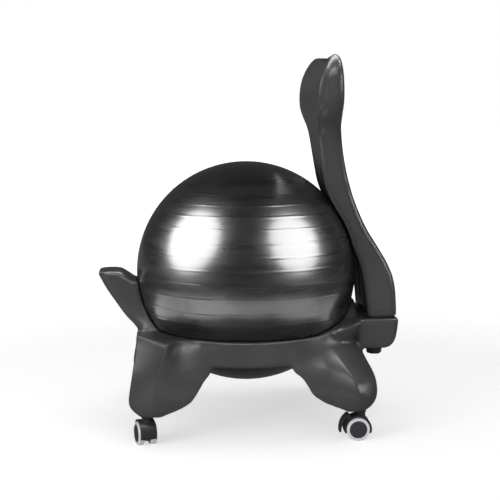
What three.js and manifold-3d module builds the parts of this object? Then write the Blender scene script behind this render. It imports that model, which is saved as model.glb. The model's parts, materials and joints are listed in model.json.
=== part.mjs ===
import * as THREE from 'three';
import { mergeVertices } from 'three/addons/utils/BufferGeometryUtils.js';
import Module from 'manifold-3d';

// Balance ball chair in millimetres, +Z up. The origin lies on the floor under the ball's axis.
// The sitter faces -X: the tongue is at -X, the backrest at +X and the sitter's left at -Y.

const wasm = await Module();
wasm.setup();

// Fits
const fitGap = 0.3;
const cupGap = 0.7;
const backrestBallGap = 2.5;
const overrun = 4;
const weldDistance = 0.0001;
const shortestEdge = 0.3;
const seamTolerance = 0.12;

// Ball
const ballRadius = 250;
const ballBottom = 88;
const ballWall = 1.6;
const ballMeridians = 30;
const ballBands = 12;
const plugHeadRadius = 9;
const plugHeadThickness = 1.4;
const plugShankRadius = 5;
const plugShankLength = 16;

// Base ring: cup, rim, skirt and rear collar
const rimHeight = 215;
const rimWidth = 12;
const rimRound = 4;
const cupDepth = 49;
const cupInset = 6;
const skirtDepth = 55;
const skirtFlare = 6;
const skirtRound = 6;
const skirtStep = 9;
const collarRise = 55;
const collarThickness = 19;
const collarRound = 4;
const rearFlare = 50;
const frontFlare = 20;
const ringSections = 60;

// Legs
const legFloor = 62;
const frontStemX = 227;
const frontStemY = 236;
const frontFootX = 37;
const frontFootY = 31;
const rearStemX = 233.5;
const rearStemY = 220.5;
const rearFootX = 41.5;
const rearFootY = 29.5;

// Front tongue
const tongueRise = 139;
const tongueSink = 15;
const tongueReach = 335.5;
const tongueFootReach = 13;
const tongueHalfWidth = 45;
const tongueSpread = 52;
const tongueChamfer = 24;
const tongueRound = 13;

// Socket block behind the ring, with the pocket for the backrest's tenon
const blockRise = 22;
const blockHeight = 64.5;
const blockRear = 336;
const blockDepth = 91;
const blockHalfWidth = 112;
const blockRound = 12;
const pocketFloor = 14;

// Backrest
const backrestTop = 822;
const backrestPlinth = 8;
const backrestPlinthInset = 5;
const backrestFront = 268;
const backrestThickness = 67;
const backrestLean = 130;
const stemHalfWidth = 97;
const wingHalfWidth = 200;
const wingWrap = 14;
const topDip = 12;
const topDipHalfWidth = 130;
const fluteDepth = 3.5;
const fluteCount = 5;
const stepsPerFlute = 4;
const rearSteps = 4;
const tenonInset = 4;
const tenonThickness = 48;
const tenonHalfWidth = 82;

// Tightening knobs
const knobRadius = 19;
const knobHeight = 18;
const knobLobes = 6;
const knobLobeDepth = 1.6;
const knobBevel = 2;
const knobSpacing = 110;
const knobSetback = 21;
const studRadius = 4;
const studGrip = 13;
const studReach = 17;
const insertRadius = 7;
const insertLength = 20;
const washerRadius = 10;
const washerThickness = 1.6;

// Casters
const wheelRadius = 25;
const wheelWidth = 13.6;
const wheelFacets = 18;
const hubRadius = 18.5;
const hubDome = 0.8;
const treadRound = 1.4;
const treadSetback = 0.4;
const webThickness = 13;
const wheelSideGap = 0.4;
const trail = 8;
const axleRadius = 3;
const axleLength = 33.4;
const hoodRadius = 29.5;
const hoodClearance = 1.2;
const hoodWidth = 34;
const hoodTop = 57;
const hoodDrop = 15;
const hoodFootWidth = 18;
const hoodFootDrop = 11;
const bossRadius = 9.5;
const bossDepth = 17;
const stemRadius = 5.5;
const stemFootRadius = 4;
const stemFootLength = 23;
const stemCollarRadius = 7;
const stemCollarThickness = 2;
const stemLength = 40;
const stemTaper = 1.2;
const socketWall = 2.2;
const socketLength = 44;
const flangeRadius = 11;
const flangeThickness = 2;
const frontHeadings = { left: -74, right: 74 };
const rearHeadings = { left: 0, right: 0 };

// Brake lever on the rear casters
const leverRadius = 40.5;
const leverWidth = 18;
const leverTopAngle = 122;
const leverTipAngle = 192;
const leverTopGap = 0.8;
const leverTipGap = 6.3;
const pivotAngle = 128;
const pivotRadius = 34.5;
const pinRadius = 2.2;
const cheekThickness = 3;
const cheekRadius = 39.5;
const cheekSpread = 12;

const halfTurn = 180;
const degrees = (angle) => THREE.MathUtils.degToRad(angle);
const lerp = THREE.MathUtils.lerp;
const ballCentre = ballBottom + ballRadius;
const reachAt = (radius, z) => Math.sqrt(Math.max(radius ** 2 - (z - ballCentre) ** 2, 0));
const cupReach = (z) => reachAt(ballRadius + cupGap, z);
const rimRadius = cupReach(rimHeight) + rimWidth;
const skirtHeight = rimHeight - skirtDepth;
const blockTop = rimHeight + blockRise;
const tongueTop = rimHeight + tongueRise;
const tongueFoot = rimHeight - tongueSink;

// Each point's stand-in, where an edge is too short to keep.
function standIns(points, index) {
  const standIn = Array.from({ length: points.count }, (_, i) => i);
  const find = (i) => (standIn[i] === i ? i : find(standIn[i]));
  const corner = (i) => new THREE.Vector3().fromBufferAttribute(points, i);
  for (let i = 0; i < index.count; i++) {
    const next = i % 3 === 2 ? i - 2 : i + 1;
    const [a, b] = [find(index.getX(i)), find(index.getX(next))];
    if (a !== b && corner(a).distanceTo(corner(b)) < shortestEdge) {
      standIn[Math.max(a, b)] = Math.min(a, b);
    }
  }
  return standIn.map((_, i) => find(i));
}

// Merged, facing out, without the slivers that poles and short edges leave.
function closedBody(geometry) {
  const bare = new THREE.BufferGeometry();
  bare.setAttribute('position', geometry.getAttribute('position'));
  if (geometry.index) {
    bare.setIndex(geometry.index);
  }
  const merged = mergeVertices(bare, weldDistance);
  const points = merged.getAttribute('position');
  const standIn = standIns(points, merged.index);
  const corner = (i) => new THREE.Vector3().fromBufferAttribute(points, i);
  const faces = [];
  let volume = 0;
  for (let i = 0; i < merged.index.count; i += 3) {
    const [a, b, c] = [0, 1, 2].map((k) => standIn[merged.index.getX(i + k)]);
    if (a !== b && b !== c && c !== a) {
      faces.push([a, b, c]);
      volume += corner(a).dot(corner(b).cross(corner(c)));
    }
  }
  const outward = volume > 0 ? faces : faces.map(([a, b, c]) => [a, c, b]);
  merged.setIndex(outward.flat());
  return merged;
}

function toSolid(geometry) {
  const body = closedBody(geometry);
  const mesh = new wasm.Mesh({
    numProp: 3,
    vertProperties: Float32Array.from(body.getAttribute('position').array),
    triVerts: Uint32Array.from(body.index.array),
  });
  return new wasm.Manifold(mesh);
}

function toGeometry(solid) {
  const mesh = solid.simplify(seamTolerance).getMesh();
  const geometry = new THREE.BufferGeometry();
  geometry.setAttribute('position', new THREE.BufferAttribute(Float32Array.from(mesh.vertProperties), 3));
  geometry.setIndex(Array.from(mesh.triVerts));
  return geometry;
}

// A skin through rings of points. An open loft gets flat caps; a ring's points share one plane there.
function loft(rings, { loop = false, flatten = (p) => new THREE.Vector2(p.x, p.y) } = {}) {
  const count = rings[0].length;
  const index = [];
  const spans = loop ? rings.length : rings.length - 1;
  for (let i = 0; i < spans; i++) {
    const low = i * count;
    const high = ((i + 1) % rings.length) * count;
    for (let j = 0; j < count; j++) {
      const k = (j + 1) % count;
      index.push(low + j, low + k, high + k, low + j, high + k, high + j);
    }
  }
  if (!loop) {
    for (const [ring, first, top] of [[rings[0], 0, false], [rings.at(-1), spans * count, true]]) {
      const outline = ring.map(flatten);
      const turns = THREE.ShapeUtils.isClockWise(outline);
      for (const [a, b, c] of THREE.ShapeUtils.triangulateShape(outline, [])) {
        const facesUp = THREE.ShapeUtils.area([outline[a], outline[b], outline[c]]) > 0;
        const keep = facesUp === (top !== turns);
        index.push(first + a, first + (keep ? b : c), first + (keep ? c : b));
      }
    }
  }
  const geometry = new THREE.BufferGeometry();
  geometry.setAttribute(
    'position',
    new THREE.Float32BufferAttribute(rings.flat().flatMap((p) => [p.x, p.y, p.z]), 3),
  );
  geometry.setIndex(index);
  return geometry;
}

// Rounded rectangle as a ring of points at height z.
function roundedRing(x0, x1, halfWidth, radius, z, steps = 3) {
  const corner = Math.min(radius, (x1 - x0) / 2, halfWidth);
  const ring = [];
  const centres = [
    [x1 - corner, halfWidth - corner, 0],
    [x0 + corner, halfWidth - corner, 1],
    [x0 + corner, corner - halfWidth, 2],
    [x1 - corner, corner - halfWidth, 3],
  ];
  for (const [cx, cy, quarter] of centres) {
    for (let i = 0; i <= steps; i++) {
      const turn = (quarter + i / steps) * (Math.PI / 2);
      ring.push(new THREE.Vector3(cx + corner * Math.cos(turn), cy + corner * Math.sin(turn), z));
    }
  }
  return ring;
}

// Straight cylinder along Z, and a profile of [radius, height] points turned about Y.
function post(radius, z0, z1, x, y, facets = 24) {
  const geometry = new THREE.CylinderGeometry(radius, radius, z1 - z0, facets);
  return geometry.rotateX(Math.PI / 2).translate(x, y, (z0 + z1) / 2);
}

function turned(profile, facets, start = 0) {
  const points = profile.map(([radius, height]) => new THREE.Vector2(radius, height));
  points.push(points[0].clone());
  return new THREE.LatheGeometry(points, facets, start);
}

// A share column of a table read at any place between its rows.
function shareAt(rows, place, column) {
  const next = Math.max(rows.findIndex((row) => row[0] >= place), 1);
  const [before, after] = [rows[next - 1], rows[next]];
  return lerp(before[column], after[column], (place - before[0]) / (after[0] - before[0]));
}

// Base ring. Each row: angle from the rear, ridge height, ridge land, deck height, rear flare, front flare.
const ringShares = [
  [0, 1, 0.45, 1, 0.9, 0],
  [8, 0.93, 0.5, 1, 0.92, 0],
  [13, 0.8, 0.75, 1, 0.95, 0],
  [17, 0.63, 1, 1, 1, 0],
  [21, 0.45, 1, 0.97, 1, 0],
  [28, 0.31, 1, 0.63, 0.76, 0],
  [34, 0.22, 0.9, 0.33, 0.38, 0],
  [40, 0.13, 0.7, 0.2, 0.2, 0],
  [50, 0.02, 0.35, 0.02, 0.03, 0],
  [60, 0, 0.25, 0, 0, 0],
  [125, 0, 0.25, 0, 0, 0.04],
  [140, 0, 0.25, 0, 0, 0.3],
  [150, 0, 0.25, 0, 0, 0.7],
  [160, 0, 0.25, 0, 0, 1],
  [167, 0, 0.25, 0, 0, 1.08],
  [180, 0, 0.25, 0, 0, 1],
];

function ringSection(angle) {
  const place = Math.min(angle, 360 - angle);
  const share = (column) => shareAt(ringShares, place, column);
  const cupBottom = rimHeight - cupDepth;
  const ridgeZ = rimHeight + share(1) * collarRise;
  const ridgeR = cupReach(ridgeZ) + share(2) * collarThickness;
  const edgeZ = rimHeight + share(3) * (blockTop - rimHeight);
  const edgeR = rimRadius + share(4) * rearFlare + share(5) * frontFlare;
  const skirtR = rimRadius + skirtFlare + share(5) * (frontFlare - skirtFlare);
  const profile = [
    [cupReach(cupBottom) - cupInset, cupBottom],
    [cupReach(ridgeZ) - cupInset, ridgeZ],
    [ridgeR - collarRound / 2, ridgeZ],
    [ridgeR, Math.max(ridgeZ - collarRound, Math.min(ridgeZ, edgeZ))],
    [ridgeR + collarRound, Math.min(ridgeZ, edgeZ)],
    [edgeR - rimRound, edgeZ],
    [edgeR, edgeZ - rimRound],
    [skirtR, skirtHeight + skirtRound],
    [skirtR - skirtRound, skirtHeight],
    [cupReach(cupBottom) + skirtStep, skirtHeight],
  ];
  const turn = degrees(angle);
  return profile.map(([r, z]) => new THREE.Vector3(r * Math.cos(turn), r * Math.sin(turn), z));
}

function ringBody() {
  const sections = [];
  for (let i = 0; i < ringSections; i++) {
    sections.push(ringSection((360 * i) / ringSections));
  }
  return toSolid(loft(sections, { loop: true }));
}

// Legs. Each row, as shares of the leg's height and of its reach along X (u) and Y (v):
// height, end u, end corner v, side v, side corner u, roundness, shoulder u, shoulder v,
// arch u, arch v, end arch v, wall depth u.
const frontLegShares = [
  [1, 0.925, 0.463, 0.877, 0.694, 0.1, 0.608, 0.746, 0.415, 0.709, 0.224, 0.226],
  [0.967, 0.943, 0.463, 0.896, 0.709, 0.1, 0.615, 0.761, 0.396, 0.731, 0.224, 0.226],
  [0.837, 0.947, 0.56, 0.914, 0.725, 0.15, 0.604, 0.806, 0.362, 0.784, 0.224, 0.226],
  [0.673, 0.958, 0.69, 0.944, 0.747, 0.5, 0.596, 0.881, 0.332, 0.825, 0.231, 0.219],
  [0.588, 0.966, 0.765, 0.963, 0.766, 0.8, 0.604, 0.918, 0.34, 0.843, 0.299, 0.208],
  [0.471, 0.977, 0.828, 0.981, 0.781, 1, 0.623, 0.955, 0.396, 0.896, 0.384, 0.196],
  [0.314, 0.992, 0.866, 0.996, 0.792, 1, 0.649, 0.981, 0.457, 0.94, 0.455, 0.181],
  [0.229, 1, 0.877, 1, 0.796, 1, 0.672, 0.989, 0.494, 0.955, 0.496, 0.166],
  [0.157, 0.996, 0.881, 0.996, 0.796, 1, 0.694, 0.985, 0.551, 0.959, 0.545, 0.158],
  [0.092, 0.974, 0.884, 0.981, 0.796, 1, 0.717, 0.97, 0.626, 0.955, 0.642, 0.143],
  [0.039, 0.94, 0.888, 0.959, 0.792, 1, 0.74, 0.951, 0.694, 0.94, 0.716, 0.136],
  [0, 0.913, 0.888, 0.94, 0.792, 1, 0.755, 0.933, 0.74, 0.925, 0.765, 0.128],
];

const rearLegShares = [
  [0.948, 0.815, 0.281, 0.68, 0.545, 0.5, 0.473, 0.736, 0.305, 0.848, 0.2, 0.2],
  [0.889, 0.858, 0.336, 0.689, 0.625, 0.2, 0.509, 0.76, 0.305, 0.864, 0.2, 0.2],
  [0.778, 0.898, 0.417, 0.732, 0.68, 0.1, 0.545, 0.803, 0.305, 0.874, 0.205, 0.2],
  [0.608, 0.942, 0.535, 0.835, 0.742, 0.2, 0.582, 0.885, 0.313, 0.925, 0.26, 0.196],
  [0.477, 0.978, 0.632, 0.905, 0.785, 0.4, 0.6, 0.933, 0.393, 0.954, 0.347, 0.19],
  [0.373, 0.996, 0.695, 0.95, 0.807, 0.6, 0.618, 0.965, 0.429, 0.973, 0.407, 0.18],
  [0.275, 1, 0.741, 0.982, 0.815, 0.8, 0.636, 0.982, 0.462, 0.978, 0.455, 0.17],
  [0.203, 0.996, 0.768, 0.991, 0.815, 1, 0.655, 0.987, 0.513, 0.978, 0.491, 0.16],
  [0.144, 0.985, 0.795, 0.991, 0.811, 1, 0.676, 0.982, 0.567, 0.973, 0.554, 0.15],
  [0.092, 0.964, 0.821, 0.978, 0.807, 1, 0.705, 0.969, 0.633, 0.964, 0.634, 0.135],
  [0.046, 0.935, 0.839, 0.955, 0.8, 1, 0.735, 0.951, 0.691, 0.946, 0.696, 0.12],
  [0, 0.898, 0.848, 0.938, 0.796, 1, 0.76, 0.933, 0.742, 0.929, 0.75, 0.11],
];

function legRing(row, reachU, reachV, signX, signY) {
  const [height, end, endCorner, side, sideCorner, roundness, shoulderU, shoulderV, archU, archV,
    endArch, wall] = row;
  const z = lerp(legFloor, rimHeight, height);
  const outline = [
    [archU * reachU, archV * reachV],
    [archU * reachU, archV * reachV - wall * reachU],
    [(end - wall) * reachU, endArch * reachV],
    [end * reachU, endArch * reachV],
  ];
  const cornerSteps = 4;
  for (let i = 0; i <= cornerSteps; i++) {
    const way = i / cornerSteps;
    const turn = way * (Math.PI / 2);
    const roundU = sideCorner + (end - sideCorner) * Math.cos(turn);
    const roundV = endCorner + (side - endCorner) * Math.sin(turn);
    outline.push([
      lerp(lerp(end, sideCorner, way), roundU, roundness) * reachU,
      lerp(lerp(endCorner, side, way), roundV, roundness) * reachV,
    ]);
  }
  outline.push([shoulderU * reachU, shoulderV * reachV]);
  return outline.map(([u, v]) => new THREE.Vector3(signX * u, signY * v, z));
}

function legBody(rows, reachU, reachV, signX, signY) {
  return toSolid(loft(rows.map((row) => legRing(row, reachU, reachV, signX, signY))));
}

// Tongue. Each row: height, outer reach, spread of its width.
const tongueShares = [
  [0, 0, 1],
  [0.093, 0.118, 0.962],
  [0.173, 0.237, 0.788],
  [0.307, 0.419, 0.538],
  [0.487, 0.634, 0.308],
  [0.687, 0.849, 0.154],
  [0.84, 0.968, 0.058],
  [0.933, 1, 0],
  [0.98, 0.978, -0.077],
  [1, 0.892, -0.21],
];
const tongueChamferShare = 0.35;

function tongueBody() {
  const chamferFoot = tongueTop - tongueChamfer;
  const chamferRun = tongueChamferShare * (tongueReach - cupReach(chamferFoot));
  const rings = tongueShares.map(([height, reach, spread]) => {
    const z = lerp(tongueFoot, tongueTop, height);
    const outer = lerp(rimRadius + tongueFootReach, tongueReach, reach);
    const halfWidth = tongueHalfWidth + spread * tongueSpread;
    const against = Math.sqrt(cupReach(Math.min(z, chamferFoot)) ** 2 - halfWidth ** 2) - cupInset;
    const above = Math.max(z - chamferFoot, 0) / tongueChamfer;
    const inner = above > 0 ? cupReach(chamferFoot) + above * chamferRun : against;
    return roundedRing(-outer, -inner, halfWidth, tongueRound, z);
  });
  return toSolid(loft(rings));
}

// Socket block. Each row: height, rear reach, width.
const blockShares = [
  [0, 0.67, 0.911],
  [0.031, 0.747, 0.964],
  [0.1, 0.824, 0.991],
  [0.21, 0.89, 1],
  [0.395, 0.945, 1],
  [0.566, 0.967, 1],
  [0.876, 0.993, 1],
  [0.96, 1, 1],
  [1, 0.967, 0.973],
];
const blockBottom = blockTop - blockHeight;
const blockFront = blockRear - blockDepth;
const tenonBottom = blockBottom + pocketFloor + fitGap;
const tenonFront = backrestFront + tenonInset;
const tenonRear = tenonFront + tenonThickness;
const knobX = backrestFront + knobSetback;
const knobPlaces = { left: -knobSpacing / 2, right: knobSpacing / 2 };

function box(x0, x1, halfWidth, z0, z1) {
  const geometry = new THREE.BoxGeometry(x1 - x0, 2 * halfWidth, z1 - z0);
  return geometry.translate((x0 + x1) / 2, 0, (z0 + z1) / 2);
}

function blockBody() {
  return toSolid(loft(blockShares.map(([height, rear, width]) => roundedRing(
    blockFront,
    blockFront + rear * blockDepth,
    width * blockHalfWidth,
    blockRound,
    lerp(blockBottom, blockTop, height),
  ))));
}

// The whole blow-moulded base, with the ball's cup, the tenon's pocket and the bores cut out.
function baseShell() {
  const frontReach = [frontStemX + frontFootX, frontStemY + frontFootY];
  const rearReach = [rearStemX + rearFootX, rearStemY + rearFootY];
  let body = ringBody().add(tongueBody()).add(blockBody());
  for (const side of [-1, 1]) {
    body = body.add(legBody(frontLegShares, ...frontReach, -1, side));
    body = body.add(legBody(rearLegShares, ...rearReach, 1, side));
  }
  const cup = new THREE.SphereGeometry(ballRadius + cupGap, ringSections, ringSections / 2);
  body = body.subtract(toSolid(cup.rotateX(Math.PI / 2).translate(0, 0, ballCentre)));
  const pocket = box(
    tenonFront - fitGap, tenonRear + fitGap, tenonHalfWidth + fitGap,
    blockBottom + pocketFloor, backrestTop,
  );
  body = body.subtract(toSolid(pocket));
  const socketBore = stemRadius + fitGap + socketWall + fitGap;
  for (const side of [-1, 1]) {
    const studHole = post(studRadius + fitGap, blockBottom - overrun, blockTop, knobX, side * knobSpacing / 2, 16);
    body = body.subtract(toSolid(studHole));
    for (const [x, y] of [[-frontStemX, frontStemY], [rearStemX, rearStemY]]) {
      const bore = post(socketBore, legFloor - overrun, legFloor + socketLength + fitGap, x, side * y, 16);
      body = body.subtract(toSolid(bore));
    }
  }
  return toGeometry(body);
}

// Ball: a thin inflated skin with the plug hole at its lower pole.
function ballShell() {
  const holeRadius = plugShankRadius + fitGap;
  const arc = (radius) => {
    const start = Math.asin(holeRadius / radius);
    const points = [];
    for (let i = 0; i <= ballBands; i++) {
      const turn = lerp(start, Math.PI, i / ballBands);
      points.push([i === ballBands ? 0 : radius * Math.sin(turn), ballCentre - radius * Math.cos(turn)]);
    }
    return points;
  };
  const profile = [...arc(ballRadius), ...arc(ballRadius - ballWall).reverse()];
  return turned(profile, ballMeridians).rotateX(Math.PI / 2);
}

function ballPlug() {
  const headTop = ballBottom - fitGap;
  const shankTop = headTop + plugShankLength;
  const profile = [
    [0, headTop - plugHeadThickness],
    [plugHeadRadius - plugHeadThickness / 2, headTop - plugHeadThickness],
    [plugHeadRadius, headTop - plugHeadThickness / 2],
    [plugHeadRadius, headTop],
    [plugShankRadius, headTop],
    [plugShankRadius, shankTop - plugShankRadius / 2],
    [plugShankRadius / 2, shankTop],
    [0, shankTop],
  ];
  return turned(profile, 16).rotateX(Math.PI / 2);
}

// Backrest. Each row, as shares: height, forward lean, thickness, stem width, wing width, wrap of the
// front, bow of the rear, flute depth, rear corner roundness.
const backrestShares = [
  [0, 0, 1, 1, 0, 0.3, 0.1, 0, 0.28],
  [0.035, 0, 1, 1, 0, 0.33, 0.1, 0, 0.28],
  [0.052, 0, 1, 0.995, 0, 0.36, 0.1, 1, 0.28],
  [0.121, 0.012, 0.94, 0.96, 0, 0.5, 0.1, 1, 0.28],
  [0.176, 0.056, 0.88, 0.907, 0, 0.6, 0.1, 1, 0.28],
  [0.199, 0.12, 0.9, 0.887, 0, 0.7, 0.1, 1, 0.28],
  [0.228, 0.217, 0.925, 0.856, 0, 0.9, 0.1, 1, 0.28],
  [0.256, 0.305, 0.92, 0.835, 0, 1, 0.1, 1, 0.28],
  [0.285, 0.345, 0.85, 0.814, 0, 1, 0.1, 1, 0.28],
  [0.311, 0.39, 0.8, 0.794, 0, 1, 0.1, 1, 0.28],
  [0.343, 0.45, 0.775, 0.773, 0, 1, 0.1, 1, 0.28],
  [0.379, 0.535, 0.77, 0.763, 0, 0.93, 0.1, 1, 0.28],
  [0.434, 0.65, 0.8, 0.742, 0, 0.86, 0.1, 1, 0.28],
  [0.507, 0.739, 0.8, 0.753, 0, 0.86, 0.1, 1, 0.28],
  [0.562, 0.79, 0.79, 0.773, 0, 0.82, 0.1, 1, 0.28],
  [0.585, 0.81, 0.79, 0.784, 0, 0.8, 0.1, 0, 0.28],
  [0.637, 0.843, 0.768, 0.814, 0, 0.75, 0.12, 0, 0.3],
  [0.68, 0.867, 0.76, 0.8, 0.042, 0.7, 0.2, 0, 0.3],
  [0.709, 0.88, 0.73, 0.7, 0.14, 0.75, 0.4, 0, 0.32],
  [0.734, 0.89, 0.715, 0.55, 0.308, 0.8, 0.6, 0, 0.34],
  [0.754, 0.914, 0.72, 0.35, 0.555, 0.9, 0.8, 0, 0.36],
  [0.779, 0.948, 0.755, 0.15, 0.797, 1, 1, 0, 0.38],
  [0.806, 0.98, 0.8, 0.03, 0.94, 1, 1, 0, 0.38],
  [0.839, 1, 0.825, 0, 0.995, 1, 1, 0, 0.38],
  [0.877, 0.98, 0.785, 0, 1, 1, 1, 0, 0.38],
  [0.913, 0.948, 0.715, 0, 0.985, 1, 1, 0, 0.4],
  [0.945, 0.9, 0.61, 0, 0.95, 1, 1, 0, 0.42],
  [0.969, 0.85, 0.505, 0, 0.9, 0.95, 0.95, 0, 0.45],
  [0.986, 0.8, 0.37, 0, 0.83, 0.85, 0.85, 0, 0.45],
  [0.9965, 0.755, 0.21, 0, 0.75, 0.75, 0.75, 0, 0.45],
  [1, 0.73, 0.12, 0, 0.7, 0.7, 0.7, 0, 0.45],
];
const frontCornerShare = 0.12;
const dipStartShare = 0.7;
const shoulderZ = blockTop + backrestPlinth;

function backrestRing(row, z, inset) {
  const [height, lean, thick, stem, wing, wrapShare, bowShare, flute, rearShare] = row;
  const halfWidth = stem * stemHalfWidth + wing * wingHalfWidth - inset;
  const thickness = thick * backrestThickness - 2 * inset;
  const wrap = wrapShare * wingWrap;
  const clearOfBall = (y) => {
    const reach = reachAt(ballRadius + backrestBallGap, z);
    return reach > Math.abs(y) ? Math.sqrt(reach ** 2 - y ** 2) : 0;
  };
  const leaning = backrestFront - lean * backrestLean + inset;
  const front = Math.max(leaning, clearOfBall(halfWidth * (1 - frontCornerShare)));
  const rear = front + thickness;
  const frontCorner = frontCornerShare * thickness;
  const rearCorner = rearShare * thickness;
  const bendAt = (y, depth) => depth * (1 - (y / halfWidth) ** 2);
  const ring = [];
  const frontSteps = fluteCount * stepsPerFlute;
  for (let i = 0; i <= frontSteps; i++) {
    const way = i / frontSteps;
    const y = lerp(-1, 1, way) * (halfWidth - frontCorner);
    const scoop = flute * fluteDepth * Math.sin(Math.PI * fluteCount * way) ** 2;
    const x = Math.max(front + bendAt(y, wrap), clearOfBall(y)) + scoop;
    ring.push([x, y]);
  }
  const sideArc = (y, corner, x0, sign) => {
    const cut = corner * (1 - Math.SQRT1_2);
    return [x0 + sign * cut, Math.sign(y) * (halfWidth - cut)];
  };
  const rearPoint = (y) => [rear + bendAt(y, bowShare * wingWrap), y];
  ring.push(sideArc(1, frontCorner, front, 1));
  ring.push([front + frontCorner, halfWidth]);
  ring.push([rear - rearCorner, halfWidth]);
  ring.push(sideArc(1, rearCorner, rear, -1));
  for (let i = 0; i <= rearSteps; i++) {
    ring.push(rearPoint(lerp(1, -1, i / rearSteps) * (halfWidth - rearCorner)));
  }
  ring.push(sideArc(-1, rearCorner, rear, -1));
  ring.push([rear - rearCorner, -halfWidth]);
  ring.push([front + frontCorner, -halfWidth]);
  ring.push(sideArc(-1, frontCorner, front, 1));
  const dipShare = Math.max((height - dipStartShare) / (1 - dipStartShare), 0);
  return ring.map(([x, y]) => {
    const near = Math.max(1 - (y / topDipHalfWidth) ** 2, 0);
    return new THREE.Vector3(x, y, z - topDip * dipShare * near ** 2);
  });
}

function backrestBody() {
  const rings = [
    backrestRing(backrestShares[0], blockTop + fitGap, backrestPlinthInset),
    backrestRing(backrestShares[0], shoulderZ - backrestPlinthInset / 2, backrestPlinthInset),
  ];
  for (const row of backrestShares) {
    rings.push(backrestRing(row, lerp(shoulderZ, backrestTop, row[0]), 0));
  }
  const tenon = box(tenonFront, tenonRear, tenonHalfWidth, tenonBottom, shoulderZ);
  let body = toSolid(loft(rings)).add(toSolid(tenon));
  for (const y of Object.values(knobPlaces)) {
    const bore = post(
      insertRadius + fitGap, tenonBottom - overrun, tenonBottom + insertLength + fitGap, knobX, y, 16,
    );
    body = body.subtract(toSolid(bore));
  }
  return toGeometry(body);
}

// Knobs, each with its stud, washer and the threaded insert above it.
const washerTop = blockBottom - fitGap;
const knobTop = washerTop - washerThickness - fitGap;
const studFoot = knobTop - studGrip;

function knobBody(y) {
  const outline = [];
  const steps = knobLobes * 5;
  for (let i = 0; i < steps; i++) {
    const turn = (2 * Math.PI * i) / steps;
    const radius = knobRadius - knobBevel - knobLobeDepth * (1 - Math.cos(knobLobes * turn)) / 2;
    outline.push(new THREE.Vector2(radius * Math.cos(turn), radius * Math.sin(turn)));
  }
  const grip = new THREE.ExtrudeGeometry(new THREE.Shape(outline), {
    depth: knobHeight - 2 * knobBevel,
    bevelThickness: knobBevel,
    bevelSize: knobBevel,
    bevelSegments: 1,
  });
  grip.translate(knobX, y, knobTop - knobHeight + knobBevel);
  const bore = post(studRadius + fitGap, studFoot - fitGap, knobTop + overrun, knobX, y, 16);
  return toGeometry(toSolid(grip).subtract(toSolid(bore)));
}

function tube(inner, outer, z0, z1, x, y, facets = 16) {
  const profile = [[inner, z0], [outer, z0], [outer, z1], [inner, z1]];
  return turned(profile, facets).rotateX(Math.PI / 2).translate(x, y, 0);
}

// Caster pieces, drawn about the stem's axis with the tail toward -X and the axle along Y.
const axleX = -trail;
const wheelInner = webThickness / 2 + wheelSideGap;
const wheelOuter = wheelInner + wheelWidth;
const flatToCorner = 1 / Math.cos(Math.PI / wheelFacets);

function around(radius, angle) {
  return new THREE.Vector2(
    axleX + radius * Math.cos(degrees(angle)),
    wheelRadius + radius * Math.sin(degrees(angle)),
  );
}

// A side view outline in X and Z, as a slab between two values of Y.
function slab(outline, y0, y1) {
  const geometry = new THREE.ExtrudeGeometry(new THREE.Shape(outline), {
    depth: y1 - y0,
    bevelEnabled: false,
  });
  return geometry.rotateX(Math.PI / 2).translate(0, y1, 0);
}

function wheelDisc(radius, y0, y1) {
  const geometry = new THREE.CylinderGeometry(radius, radius, y1 - y0, 24);
  return geometry.translate(axleX, (y0 + y1) / 2, wheelRadius);
}

function hoodBody(withBrake) {
  const outline = [];
  const fenderSteps = 14;
  for (let i = 0; i <= fenderSteps; i++) {
    outline.push(around(hoodRadius, lerp(-hoodDrop, halfTurn + hoodDrop, i / fenderSteps)));
  }
  outline.push(new THREE.Vector2(axleX - hoodFootWidth / 2, wheelRadius - hoodFootDrop));
  outline.push(new THREE.Vector2(axleX + hoodFootWidth / 2, wheelRadius - hoodFootDrop));
  let body = toSolid(slab(outline, -hoodWidth / 2, hoodWidth / 2));
  body = body.add(toSolid(post(bossRadius, hoodTop - bossDepth, hoodTop, 0, 0, 20)));
  if (withBrake) {
    const cheek = [
      around(hoodRadius - hoodClearance, pivotAngle - cheekSpread),
      around(cheekRadius - cheekThickness / 2, pivotAngle - cheekSpread / 2),
      around(cheekRadius, pivotAngle),
      around(cheekRadius - cheekThickness / 2, pivotAngle + cheekSpread / 2),
      around(hoodRadius - hoodClearance, pivotAngle + cheekSpread),
    ];
    const inside = leverWidth / 2 + fitGap;
    body = body.add(toSolid(slab(cheek, inside, inside + cheekThickness)));
    body = body.add(toSolid(slab(cheek, -inside - cheekThickness, -inside)));
    body = body.subtract(toSolid(pivotPin(pinRadius + fitGap, hoodWidth)));
  }
  const pocketRadius = wheelRadius * flatToCorner + hoodClearance;
  for (const side of [-1, 1]) {
    const [y0, y1] = [webThickness / 2, hoodWidth].map((y) => side * y).sort((a, b) => a - b);
    body = body.subtract(toSolid(wheelDisc(pocketRadius, y0, y1)));
  }
  body = body.subtract(toSolid(wheelDisc(axleRadius + fitGap, -hoodWidth, hoodWidth)));
  const stemBottom = hoodTop - stemFootLength;
  body = body.subtract(toSolid(post(stemFootRadius + fitGap, stemBottom, hoodTop + overrun, 0, 0, 12)));
  return toGeometry(body);
}

function pivotPin(radius, width) {
  const place = around(pivotRadius, pivotAngle);
  return new THREE.CylinderGeometry(radius, radius, width, 10).translate(place.x, 0, place.y);
}

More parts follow.
